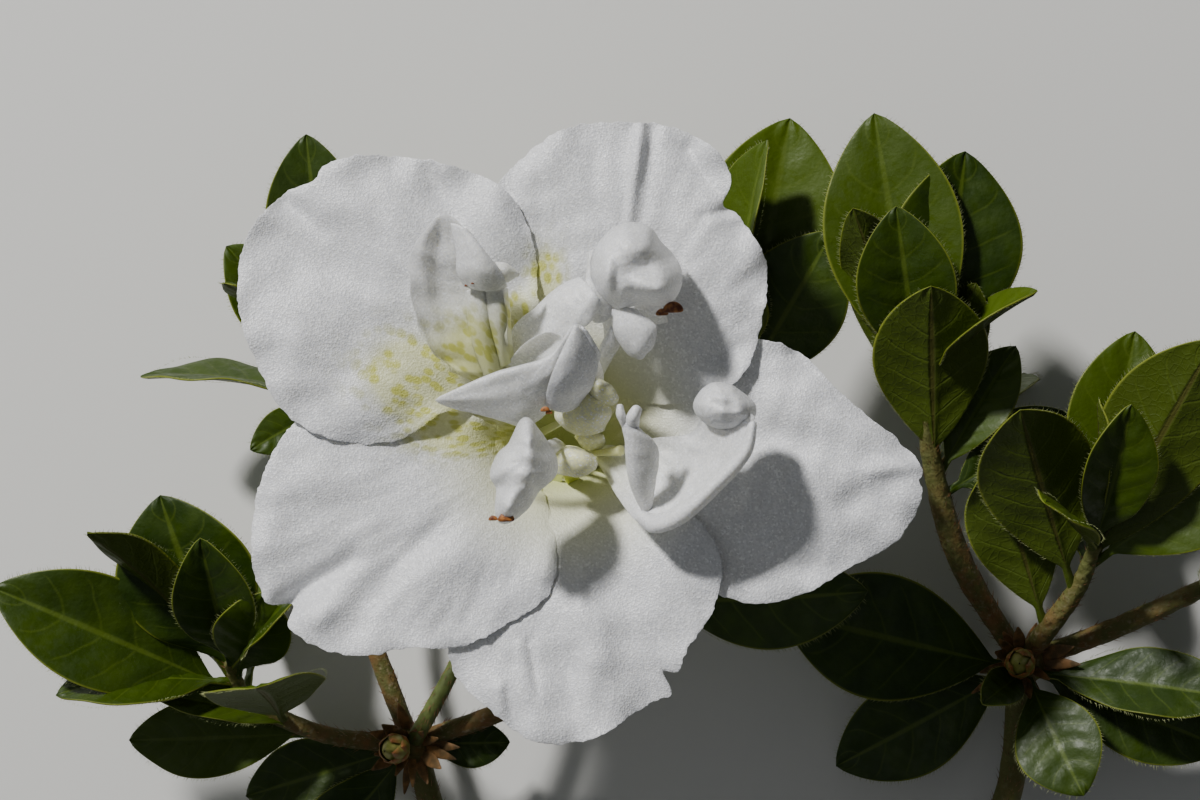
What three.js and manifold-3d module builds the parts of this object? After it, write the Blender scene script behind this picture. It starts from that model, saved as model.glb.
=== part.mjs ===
// A flowering spray of an evergreen azalea, cut from the shrub and lying on a flat surface.
// Millimetres, +Z up. X runs to the viewer's right and Y away from the viewer, who looks
// down on the open face of the bloom. The plant is drawn with the middle of the bloom
// above x = 0, y = 0, and the whole is then moved so that the origin lies on the surface
// under the middle of the plant.
import * as THREE from "three";
import { ParametricGeometry } from "three/addons/geometries/ParametricGeometry.js";
import { mergeVertices } from "three/addons/utils/BufferGeometryUtils.js";
import Module from "manifold-3d";

const wasm = await Module();
wasm.setup();

// Driving dimensions
const BLOOM_HEIGHT = 46; // level of the open petals above the surface
const PETAL_THICKNESS = 0.9;
const LEAF_THICKNESS = 0.75;
const PETIOLE = 0.13; // share of a leaf's length that is stalk
const SEAT_GAP = 0.3; // clearance between a piece and what carries it
const ORIGIN = [16, -33, 0]; // point of the drawing that becomes the part's origin

// Throat of the bloom: depth below the petals' level at a distance from the axis
const DISH_RIM = 1.6;
const DISH_DEPTH = 110;
const DISH_POWER = 1.28;
const DISH_INNER = 4.5;
const DISH_DROOP = 0.0012;
const DROOP_FROM = 20;

// Corolla tube, below the throat
const TUBE_TOP = -3.2;
const TUBE_BASE = -27;
const TUBE_BASE_RADIUS = 2.3;
const TUBE_WALL = 1.1;
const TUBE_SHIFT = [-7, -14]; // how far its foot leans, x and y
const LEAN_FROM = -6; // depth from which it leans
const NARROW_FROM = -10; // depth from which it narrows to its foot

// The lobes lie together near the throat, and part over this run of distance from the axis
const PART_FROM = 7;
const PART_OVER = 8;

// Joints of the branch: x, y and height
const CUT_END = [22, -104, 2.4];
const FORK = [14, -72, 4.6];
const NODE_LEFT = [-19.5, -39, 12];
const NODE_RIGHT = [56.5, -28.6, 13];

const GOLDEN_TURN = 137.5;
const DEG = Math.PI / 180;

// The photograph's view, straight down: places seen in it are written as
// [pixels across, pixels down, height over the open petals in millimetres]
const PIXEL = 0.115; // millimetres that a pixel spans at the petals' level
const VIEW_MIDDLE = [600, 400];
const VIEW_POINT = [4, 4]; // point of the drawing in the middle of the view
const VIEW_DISTANCE = 400; // from the camera to the petals' level
function seen([across, down, height]) {
  const step = PIXEL * (1 - height / VIEW_DISTANCE);
  return [
    VIEW_POINT[0] + (across - VIEW_MIDDLE[0]) * step,
    VIEW_POINT[1] - (down - VIEW_MIDDLE[1]) * step,
    height + BLOOM_HEIGHT,
  ];
}

// Small numeric helpers
const vec = (p) => new THREE.Vector3(...p);
const mix = (a, b, t) => a + (b - a) * t;
const clamp = (t) => Math.min(1, Math.max(0, t));
const smooth = (t) => clamp(t) ** 2 * (3 - 2 * clamp(t));

// Repeatable random numbers from 0 to 1
function seeded(seed) {
  let state = seed;
  return () => {
    state = (state * 1664525 + 1013904223) % 4294967296;
    return state / 4294967296;
  };
}

// Values at evenly spaced places, joined by a smooth curve
function smoothList(values, t, closed = false) {
  const n = values.length;
  const span = closed ? n : n - 1;
  const x = closed ? t * span : clamp(t) * span;
  const i = Math.min(Math.floor(x), span - 1);
  const f = x - i;
  const at = (k) => (closed ? values[((k % n) + n) % n] : values[Math.min(n - 1, Math.max(0, k))]);
  const [a, b, c, d] = [at(i - 1), at(i), at(i + 1), at(i + 2)];
  return b + 0.5 * f * (c - a + f * (2 * a - 5 * b + 4 * c - d + f * (3 * (b - c) + d - a)));
}

// Solids
function solid(geometry) {
  const bare = geometry.clone();
  bare.deleteAttribute("normal");
  bare.deleteAttribute("uv");
  const merged = mergeVertices(bare, 1e-4);
  const kept = [];
  const index = merged.index.array;
  for (let i = 0; i < index.length; i += 3) {
    const [a, b, c] = [index[i], index[i + 1], index[i + 2]];
    if (a !== b && b !== c && c !== a) kept.push(a, b, c);
  }
  const mesh = new wasm.Mesh({
    numProp: 3,
    vertProperties: merged.attributes.position.array,
    triVerts: new Uint32Array(kept),
  });
  const made = new wasm.Manifold(mesh);
  if (made.volume() > 0) return made;
  for (let i = 0; i < kept.length; i += 3) [kept[i + 1], kept[i + 2]] = [kept[i + 2], kept[i + 1]];
  return new wasm.Manifold(new wasm.Mesh({
    numProp: 3,
    vertProperties: merged.attributes.position.array,
    triVerts: new Uint32Array(kept),
  }));
}

function geometryOf(manifold) {
  const mesh = manifold.getMesh();
  const geometry = new THREE.BufferGeometry();
  geometry.setAttribute("position", new THREE.BufferAttribute(mesh.vertProperties, 3));
  geometry.setIndex(new THREE.BufferAttribute(mesh.triVerts, 1));
  const flat = geometry.toNonIndexed();
  flat.computeVertexNormals();
  return flat;
}

const join = (solids) => solids.reduce((whole, next) => whole.add(next));

// The main body of a solid, without slivers or closed pockets
const mainBody = (made) => made.decompose().reduce((a, b) => (a.volume() > b.volume() ? a : b));
const FINEST = 0.04; // detail below this size is dropped from a joined solid

// Frames along a curve, each with its place, tangent, side and face direction
function framesAlong(points, face) {
  const curve = new THREE.CatmullRomCurve3(points.map(vec), false, "catmullrom", 0.5);
  return (t) => {
    const place = curve.getPoint(clamp(t));
    const ahead = curve.getPoint(clamp(t + 0.01));
    const behind = curve.getPoint(clamp(t - 0.01));
    const tangent = ahead.sub(behind).normalize();
    const normal = vec(face).addScaledVector(tangent, -vec(face).dot(tangent)).normalize();
    const side = new THREE.Vector3().crossVectors(tangent, normal);
    return { place, tangent, normal, side };
  };
}

// A round limb along a curve, with flat ends
function limb(points, radii, { around = 8, along = 8, grow = 0 } = {}) {
  const frame = framesAlong(points, [0.13, 0.21, 0.97]);
  const rings = along + 2;
  return solid(new ParametricGeometry((u, v, target) => {
    const ring = Math.round(u * rings);
    const t = clamp((ring - 1) / along);
    const capped = ring === 0 || ring === rings;
    const { place, normal, side } = frame(t);
    const radius = capped ? 0 : smoothList(radii, t) + grow;
    const turn = 2 * Math.PI * v;
    target.copy(place);
    target.addScaledVector(side, radius * Math.cos(turn));
    target.addScaledVector(normal, radius * Math.sin(turn));
  }, rings, around));
}

// Rings of a flat sheet, which run out over its face and back under it, closer together toward
// the margin: how far out the ring lies, and which face it is on
const MARGIN = 0.35; // thickness left at the margin, as a share of the whole
function sheetRing(v, rings) {
  const k = Math.round(v * (2 * rings + 1));
  const over = k <= rings;
  const share = Math.sin((Math.PI / 2) * ((over ? k : 2 * rings + 1 - k) / rings));
  return { share, face: (over ? 1 : -1) * Math.max(MARGIN, Math.sqrt(1 - share * share)) };
}

// The signed turn from one direction to another
const turnBetween = (to, from) => Math.atan2(Math.sin(to - from), Math.cos(to - from));

// The shallow dish that the open petals share
function dish(radius) {
  const r = Math.max(radius, DISH_INNER);
  const droop = DISH_DROOP * Math.max(0, r - DROOP_FROM) ** 2;
  return DISH_RIM - DISH_DEPTH / r ** DISH_POWER - droop;
}

// One lobe of the corolla: a leaf-thin sheet with its own outline, on the dish.
// centre and radii give the outline, lift raises its two sides over or under its neighbours.
function petalLobe({ centre, radii, toward, lift, notches = [] }, grow = 0) {
  const around = 26;
  const rings = 4;
  const height = (x, y) => {
    const r = Math.hypot(x, y);
    const side = mix(lift[0], lift[1], smooth(0.5 + turnBetween(Math.atan2(y, x), toward * DEG) / (90 * DEG)));
    return dish(r) + side * smooth((r - PART_FROM) / PART_OVER);
  };
  return solid(new ParametricGeometry((u, v, target) => {
    const turn = 2 * Math.PI * u;
    let reach = smoothList(radii, u, true);
    for (const [at, depth, width] of notches) {
      const off = turnBetween(turn, at * DEG) / (width * DEG);
      reach -= depth * Math.exp(-off * off);
    }
    const { share, face } = sheetRing(v, rings);
    const x = centre[0] + share * reach * Math.cos(turn);
    const y = centre[1] + share * reach * Math.sin(turn);
    target.set(x, y, height(x, y) + face * (PETAL_THICKNESS / 2 + grow) + BLOOM_HEIGHT);
  }, around, 2 * rings + 1));
}

// Each lobe's reach is given every 22.5 degrees, from the right and turning left
const LOBES = {
  upper_left: {
    centre: [-19, 15.5],
    radii: [15, 16.5, 17.5, 16.5, 16.5, 17.5, 18, 19, 18.5, 18, 18.5, 17.5, 15.5, 15.5, 17, 15.5],
    toward: 141,
    lift: [0.9, 0.9],
    notches: [[127, 1, 5]],
  },
  top: {
    centre: [6.5, 20],
    radii: [16.5, 14.5, 16.5, 16.5, 16, 16.5, 16.5, 17, 15, 13.5, 13.5, 13.5, 14, 17, 19, 17.5],
    toward: 68,
    lift: [0.9, -0.8],
    notches: [[29, 1.6, 4]],
  },
  right: {
    centre: [21.5, -4],
    radii: [19.5, 15, 13.5, 14.5, 15, 13.5, 13.5, 14, 14, 13.5, 13.5, 14.5, 15.5, 15.5, 16, 19],
    toward: -12,
    lift: [-0.9, -0.9],
  },
  bottom: {
    centre: [3, -20],
    radii: [14, 16, 15.5, 13.5, 13, 13, 13.5, 13.5, 15.5, 17.5, 16.5, 16.5, 15, 13, 13, 12],
    toward: -82,
    lift: [-0.8, 0.9],
    notches: [[-40, 1.4, 5]],
  },
  lower_left: {
    centre: [-18, -11],
    radii: [15.5, 13.5, 13.5, 14, 14.5, 16, 18, 18, 18, 18.5, 17.5, 15.5, 13.5, 14.5, 15.5, 17.5],
    toward: 212,
    lift: [-0.8, 0.9],
    notches: [[214, 1.6, 4]],
  },
};

// Centre line and radius of the corolla tube at a depth
function tubeCentre(z) {
  const lean = Math.max(0, (z - LEAN_FROM) / (TUBE_BASE - LEAN_FROM)) ** 1.5;
  return [TUBE_SHIFT[0] * lean, TUBE_SHIFT[1] * lean, z + BLOOM_HEIGHT];
}
function tubeRadius(z) {
  const flare = (DISH_DEPTH / (DISH_RIM - z)) ** (1 / DISH_POWER);
  return mix(flare, TUBE_BASE_RADIUS, smooth((z - NARROW_FROM) / (TUBE_BASE - NARROW_FROM)));
}

// The tube as a wall, open at both ends, which may be made thicker on both sides
function tubeWall(grow = 0) {
  const around = 20;
  const steps = 9;
  const half = TUBE_WALL / 2 + grow;
  const loop = 2 * steps + 2;
  return solid(new ParametricGeometry((u, v, target) => {
    const turn = 2 * Math.PI * u;
    const k = Math.round(v * loop) % loop;
    const inward = k > steps;
    const share = (inward ? loop - 1 - k : k) / steps;
    const z = mix(TUBE_TOP, TUBE_BASE, share ** 0.8);
    const slope = (tubeRadius(z + 0.1) - tubeRadius(z - 0.1)) / 0.2;
    const side = (inward ? -half : half) / Math.hypot(1, slope);
    const radius = tubeRadius(z) + side;
    const [x, y, height] = tubeCentre(z);
    target.set(x + radius * Math.cos(turn), y + radius * Math.sin(turn), height - side * slope);
  }, around, loop));
}

function corollaSolid(grow = 0) {
  const lobes = Object.values(LOBES).map((lobe) => petalLobe(lobe, grow));
  return mainBody(join([tubeWall(grow), ...lobes]));
}

// A thin curved sheet with pointed ends, spread between three rails along it, and thinner
// where it is narrow
const NARROW_SHARE = 0.7;
function sheet({ left, middle, right, thickness = PETAL_THICKNESS }, { along = 9, around = 8, grow = 0 } = {}) {
  const rail = (points, t) => new THREE.Vector3(
    smoothList(points.map((p) => p[0]), t),
    smoothList(points.map((p) => p[1]), t),
    smoothList(points.map((p) => p[2]), t),
  );
  const surface = (t, s) => rail(left, t).multiplyScalar((s * s - s) / 2)
    .addScaledVector(rail(middle, t), 1 - s * s)
    .addScaledVector(rail(right, t), (s * s + s) / 2);
  const rings = along + 2;
  return solid(new ParametricGeometry((u, v, target) => {
    const ring = Math.round(u * rings);
    const t = clamp((ring - 1) / along);
    if (ring === 0 || ring === rings) {
      target.copy(surface(t, 0));
      return;
    }
    const turn = 2 * Math.PI * v;
    const s = Math.cos(turn);
    const wide = rail(left, t).distanceTo(rail(right, t));
    const half = Math.min(thickness, NARROW_SHARE * wide) / 2 + grow;
    const lengthways = surface(clamp(t + 0.02), s).sub(surface(clamp(t - 0.02), s));
    const crossways = surface(t, s + 0.02).sub(surface(t, s - 0.02));
    const normal = lengthways.clone().cross(crossways).normalize();
    target.copy(surface(t, s));
    target.addScaledVector(crossways.normalize(), grow * s);
    target.addScaledVector(normal, -half * Math.sin(turn));
  }, rings, around));
}

// Petal-like stamens in the throat, from above the throat's wall to their tips.
// foot is the turn of the claw round the throat; extra holds a second fold fused on.
const PETALOIDS = {
  left: {
    foot: 140,
    left: [[478, 381, -3.2], [430, 350, 2], [412, 300, 5.5], [413, 250, 8], [438, 214, 10]],
    middle: [[491, 383, -3.5], [468, 360, 0], [452, 312, 1], [448, 262, 5], [446, 213, 10.2]],
    right: [[503, 378, -3.2], [508, 345, 3], [506, 300, 7.5], [484, 252, 9.5], [453, 216, 10]],
    anther: [466, 284, 6.5],
  },
  centre: {
    foot: 172,
    left: [[600, 394, -1.6], [592, 345, 6], [575, 324, 9], [545, 358, 7], [490, 376, 7], [436, 399, 7]],
    middle: [[590, 404, -2.2], [572, 385, 5], [556, 375, 9], [530, 388, 10], [490, 397, 9], [434, 400, 7]],
    right: [[579, 412, -1.6], [562, 410, 4], [546, 414, 5.5], [522, 425, 5.5], [480, 418, 6], [436, 402, 7]],
    anther: [546, 412, 6.2],
  },
  middle: {
    foot: 110,
    left: [[512, 372, -2], [500, 364, 0], [520, 325, 3.5], [552, 297, 5.5], [582, 286, 6.5]],
    middle: [[526, 374, -3], [526, 358, -0.5], [545, 332, 4.5], [575, 306, 7], [592, 296, 7.2]],
    right: [[540, 372, -2], [548, 360, 0.5], [566, 336, 3], [590, 322, 4.5], [598, 308, 6]],
  },
  top: {
    foot: 62,
    left: [[590, 376, -1.3], [604, 346, 4], [600, 312, 6.8], [604, 280, 9.5]],
    middle: [[597, 375, -1.3], [612, 345, 4.3], [611, 310, 7.8], [612, 280, 10]],
    right: [[604, 374, -1.3], [620, 344, 4], [622, 310, 7], [620, 280, 9.5]],
    anther: [668, 308, 7.5],
    hood: {
      middle: [634, 268, 6],
      rise: 7,
      reach: [46, 43, 42, 47, 47, 46, 45, 47, 47, 49, 51, 46, 36, 38, 49, 53],
      folds: [[633, 268, -4.5, 12], [660, 284, 2, 16], [603, 282, 1.5, 12], [640, 236, 1.5, 12]],
    },
    extra: {
      left: [[610, 338, 4.2], [622, 348, 4], [636, 359, 2.4]],
      middle: [[617, 325, 5.4], [634, 338, 5.2], [642, 358, 2.6]],
      right: [[625, 312, 5], [652, 328, 4.6], [648, 354, 2.4]],
    },
  },
  right: {
    foot: 340,
    left: [[600, 446, -4.4], [622, 446, 1], [655, 438, 3.5], [692, 432, 6], [704, 396, 10.4]],
    middle: [[599, 456, -4.6], [632, 475, -0.2], [675, 480, 1.8], [716, 452, 5.5], [722, 384, 11]],
    right: [[598, 466, -4.4], [640, 516, 3.4], [690, 518, 5.6], [738, 468, 8], [755, 408, 10.4]],
    extra: {
      left: [[644, 512, 3.2], [630, 476, 5], [622, 440, 8.5], [619, 408, 10]],
      middle: [[652, 514, 2.6], [650, 480, 4.4], [640, 448, 7], [622, 406, 10.2]],
      right: [[660, 512, 3.2], [674, 482, 6.6], [655, 442, 8.4], [626, 409, 10]],
    },
  },
  front: {
    foot: 262,
    left: [[560, 446, -4], [548, 430, 3], [522, 424, 8], [492, 465, 9], [498, 505, 7], [501, 522, 5.5]],
    middle: [[563, 448, -4.6], [552, 430, 5], [536, 428, 11], [522, 465, 12.5], [512, 502, 9.5], [506, 525, 5.5]],
    right: [[566, 450, -4], [557, 438, 4], [549, 444, 8], [557, 470, 8.5], [528, 506, 7], [512, 521, 5.5]],
    anther: [508, 515, 7.5],
  },
  inner: {
    foot: 30,
    left: [[576, 436, -4], [572, 405, 0], [586, 378, 3]],
    middle: [[584, 440, -5], [590, 408, -1.4], [602, 384, 3.4]],
    right: [[594, 436, -4], [612, 414, 0], [619, 398, 3]],
  },
  small: {
    foot: 300,
    left: [[562, 450, -5], [575, 446, -2], [590, 452, 0.5]],
    middle: [[562, 462, -6], [578, 462, -1], [596, 462, 1.4]],
    right: [[562, 472, -5], [578, 476, -2], [588, 475, 0.5]],
  },
};

// A crumpled cap over the end of a petaloid: its reach in pixels every 22.5 degrees, its rise
// over its rim, and folds that lift or sink it round a point
function hood({ middle, rise, reach, folds }, grow = 0) {
  const rings = 4;
  return solid(new ParametricGeometry((u, v, target) => {
    const { share, face } = sheetRing(v, rings);
    const step = share * smoothList(reach, u, true);
    const across = middle[0] + step * Math.cos(2 * Math.PI * u);
    const down = middle[1] - step * Math.sin(2 * Math.PI * u);
    let height = middle[2] + rise * (1 - share ** 3);
    for (const [x, y, amount, size] of folds) {
      height += amount * Math.exp(-((across - x) ** 2 + (down - y) ** 2) / size ** 2);
    }
    target.set(...seen([across, down, height + face * (PETAL_THICKNESS / 2 + grow)]));
  }, 16, 2 * rings + 1));
}

const CLAW_DEPTH = -12;
const CLAW = 0.8; // half width of a claw
const ANTHER = [0.9, 0.6];

function petaloid(spec, grow = 0) {
  const [x, y, z] = tubeCentre(CLAW_DEPTH);
  const radius = tubeRadius(CLAW_DEPTH);
  const out = new THREE.Vector3(Math.cos(spec.foot * DEG), Math.sin(spec.foot * DEG), 0);
  const aside = new THREE.Vector3(-out.y, out.x, 0);
  const { left, middle, right } = spec;
  const shift = CLAW * Math.sign(vec(seen(left[0])).sub(vec(seen(right[0]))).dot(aside));
  const rail = (points, step) => [
    vec([x, y, z]).addScaledVector(out, radius).addScaledVector(aside, step).toArray(),
    ...points.map(seen),
  ];
  let blade = sheet({
    left: rail(left, shift),
    middle: rail(middle, 0),
    right: rail(right, -shift),
  }, { along: 3 * left.length, grow });
  if (spec.hood) blade = blade.add(hood(spec.hood, grow));
  if (!spec.extra) return blade;
  const fold = Object.fromEntries(Object.entries(spec.extra).map(([side, points]) => [side, points.map(seen)]));
  return blade.add(sheet(fold, { along: 8, grow }));
}

function anther(place) {
  const grain = new THREE.SphereGeometry(1, 8, 5);
  grain.scale(ANTHER[0], ANTHER[1], ANTHER[1]);
  grain.translate(...seen(place));
  return solid(grain);
}

// Style and stigma, in the middle of the throat
const PISTIL = {
  points: [[-3.6, -7.4, -20], [-1.2, -2.4, -12], [2.4, -2.2, -3], [6.4, -1.8, 1.2]],
  radii: [0.45, 0.4, 0.4, 0.4, 0.45, 0.7],
};
function pistil(grow = 0) {
  const points = PISTIL.points.map(([x, y, z]) => [x, y, z + BLOOM_HEIGHT]);
  return limb(points, PISTIL.radii, { around: 6, along: 8, grow });
}

// Flower stalk with the small five-lobed calyx
const PEDICEL = {
  points: [[-9.8, -20.6, 16], [-14.5, -30, 17.6], [-17.8, -36, 16.2], NODE_LEFT],
  radii: [1.5, 1, 0.9, 1, 1.1],
};
const SEPAL = { length: 4.6, width: 1.3, out: 0.75 };

function pedicel() {
  const top = vec(tubeCentre(TUBE_BASE));
  const axis = vec(tubeCentre(TUBE_BASE + 1)).sub(top).normalize();
  const seat = top.clone().addScaledVector(axis, -SEAT_GAP);
  const below = seat.clone().addScaledVector(axis, -3);
  const stalk = limb([seat.toArray(), below.toArray(), ...PEDICEL.points], PEDICEL.radii, { along: 9 });
  const cupFoot = seat.clone().addScaledVector(axis, -1.8);
  const cup = limb([seat.toArray(), cupFoot.toArray()], [2.7, 1.3], { around: 10, along: 2 });
  const across = new THREE.Vector3(1, 0, 0).cross(axis).normalize();
  const sepals = [...Array(5).keys()].map((k) => {
    const out = across.clone().applyAxisAngle(axis, k * 72 * DEG);
    const root = seat.clone().addScaledVector(axis, -0.9).addScaledVector(out, 1.2);
    const middle = root.clone().addScaledVector(out, 2.6).addScaledVector(axis, 1.2);
    const tip = root.clone().addScaledVector(out, 2.6 + SEPAL.out).addScaledVector(axis, SEPAL.length);
    const aside = new THREE.Vector3().crossVectors(axis, out);
    const rail = (share) => [[root, 0.6], [middle, SEPAL.width], [tip, 0.1]].map(
      ([at, half]) => at.clone().addScaledVector(aside, share * half).toArray(),
    );
    return sheet({ left: rail(-1), middle: rail(0), right: rail(1), thickness: 0.7 }, { along: 4, around: 6 });
  });
  const node = knuckle(NODE_LEFT, KNUCKLE_LEFT, SEAT_GAP);
  return mainBody(join([stalk, cup, ...sepals]).subtract(node).subtract(tubeWall(SEAT_GAP)));
}

// Knuckle where shoots spring from a branch's tip
const KNUCKLE_LEFT = 2.4;
const KNUCKLE_RIGHT = 3;
function knuckle(place, radius, grow = 0) {
  const ball = new THREE.SphereGeometry(radius + grow, 10, 7);
  ball.translate(...place);
  return solid(ball);
}

// A leaf: short stalk, elliptic blade with a pointed tip, folded along its midrib.
// arch bends it back along its length and fold raises its margins, in degrees.
function leafPlaces({ root, heading, face, length, arch }) {
  const bend = arch * DEG || 1e-4;
  return (t) => {
    const place = root.clone()
      .addScaledVector(heading, (length * Math.sin(bend * t)) / bend)
      .addScaledVector(face, (-length * (1 - Math.cos(bend * t))) / bend);
    const normal = face.clone().multiplyScalar(Math.cos(bend * t)).addScaledVector(heading, Math.sin(bend * t));
    return { place, normal };
  };
}

function leafWidth(leaf, t) {
  const stalk = 0.5;
  if (t <= PETIOLE) return stalk;
  const along = (t - PETIOLE) / (1 - PETIOLE);
  return Math.max((leaf.width / 2) * Math.sin(Math.PI * along ** 1.15) ** 0.85, stalk * (1 - along));
}

function leafSolid(leaf, grow = 0) {
  const stations = [0, 0.06, PETIOLE, 0.32, 0.55, 0.78, 1];
  const at = leafPlaces(leaf);
  const side = new THREE.Vector3().crossVectors(leaf.heading, leaf.face);
  const fold = Math.tan(leaf.fold * DEG);
  return solid(new ParametricGeometry((u, v, target) => {
    const t = stations[Math.round(u * (stations.length - 1))];
    const { place, normal } = at(t);
    const ended = t === 0 || t === 1;
    const width = ended ? 0 : leafWidth(leaf, t) + grow;
    const turn = 2 * Math.PI * v;
    const across = Math.cos(turn) * width;
    const half = ended ? 0 : (LEAF_THICKNESS / 2 + grow) * Math.sin(turn);
    target.copy(place);
    target.addScaledVector(side, across);
    target.addScaledVector(normal, Math.abs(across) * fold * smooth((t - PETIOLE) * 4) + half);
  }, stations.length - 1, 6));
}

// Space rules: nothing reaches below the surface, and leaves stay under the open bloom
const BLOOM_REACH = 44;
const UNDER_PETALS = 3;
function leafIsClear(leaf) {
  const at = leafPlaces(leaf);
  const side = new THREE.Vector3().crossVectors(leaf.heading, leaf.face);
  const fold = Math.tan(leaf.fold * DEG);
  for (const t of [0.3, 0.5, 0.7, 0.85, 1]) {
    for (const share of [-1, 0, 1]) {
      const across = share * (t === 1 ? 0 : leafWidth(leaf, t));
      const { place, normal } = at(t);
      const p = place.clone().addScaledVector(side, across).addScaledVector(normal, Math.abs(across) * fold);
      if (p.z < LEAF_THICKNESS / 2) return "low";
      const r = Math.hypot(p.x, p.y);
      if (r < BLOOM_REACH && p.z > BLOOM_HEIGHT + dish(r) - UNDER_PETALS) return "high";
    }
  }
  return "clear";
}

// Turns a leaf up off the surface, or down from the bloom, until it is clear
function settleLeaf(leaf) {
  for (let attempt = 0; attempt < 40; attempt += 1) {
    const state = leafIsClear(leaf);
    if (state === "clear") return leaf;
    leaf.heading.z += state === "low" ? 0.04 : -0.04;
    leaf.heading.normalize();
    leaf.face.addScaledVector(leaf.heading, -leaf.face.dot(leaf.heading)).normalize();
  }
  return null;
}

// A leaf whose tip the photograph shows: roll turns its face from up about its length
function leafToTip(root, [tip, roll, share, arch = 14, fold = 16]) {
  const chord = vec(seen(tip)).sub(root);
  const bend = arch * DEG;
  const length = (chord.length() * bend) / 2 / Math.sin(bend / 2);
  chord.normalize();
  const across = new THREE.Vector3(0, 0, 1).addScaledVector(chord, -chord.z).normalize();
  across.applyAxisAngle(chord, roll * DEG);
  const heading = chord.clone().multiplyScalar(Math.cos(bend / 2)).addScaledVector(across, Math.sin(bend / 2));
  const face = across.clone().multiplyScalar(Math.cos(bend / 2)).addScaledVector(chord, -Math.sin(bend / 2));
  return { root, heading, face, length, width: share * length, arch, fold };
}

// The rule that every shoot follows: leaves climb its tip by the golden turn, the lowest
// longest and most spread, the topmost short and upright. shown holds the leaves that
// the photograph shows, each with its place along the stem and what leafToTip needs.
function leavesOf(shoot) {
  const random = seeded(shoot.seed);
  const frame = framesAlong(shoot.points, [0.13, 0.21, 0.97]);
  const leaves = (shoot.shown || []).map(([at, ...tip]) => leafToTip(frame(at).place, tip));
  for (let k = 0; k < shoot.count; k += 1) {
    const up = shoot.count > 1 ? k / (shoot.count - 1) : 0;
    const jitter = [random(), random(), random(), random(), random(), random()].map((r) => 2 * r - 1);
    const turn = shoot.turn + k * GOLDEN_TURN + 9 * jitter[0];
    const rise = mix(shoot.rise[0], shoot.rise[1], up) + 6 * jitter[1];
    const length = mix(shoot.length[0], shoot.length[1], up) * (1 + 0.08 * jitter[2]);
    const arch = mix(28, 6, up) + 12 * jitter[4];
    const fold = 14 + 8 * jitter[5];
    const t = mix(shoot.from ?? 0.7, 0.97, up);
    const { place, tangent } = frame(t);
    const upward = new THREE.Vector3(0, 0, 1).addScaledVector(tangent, -tangent.z).normalize();
    const sideways = new THREE.Vector3().crossVectors(tangent, upward);
    const radial = upward.multiplyScalar(Math.cos(turn * DEG)).addScaledVector(sideways, Math.sin(turn * DEG));
    const heading = radial.clone().multiplyScalar(Math.cos(rise * DEG))
      .addScaledVector(tangent, Math.sin(rise * DEG)).normalize();
    const face = tangent.clone().multiplyScalar(Math.cos(rise * DEG))
      .addScaledVector(radial, -Math.sin(rise * DEG)).normalize();
    const width = length * (0.44 + 0.04 * jitter[3]);
    const leaf = settleLeaf({ root: place, heading, face, length, width, arch, fold });
    if (leaf && !(shoot.without || []).includes(k)) leaves.push(leaf);
  }
  return leaves;
}

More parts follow.
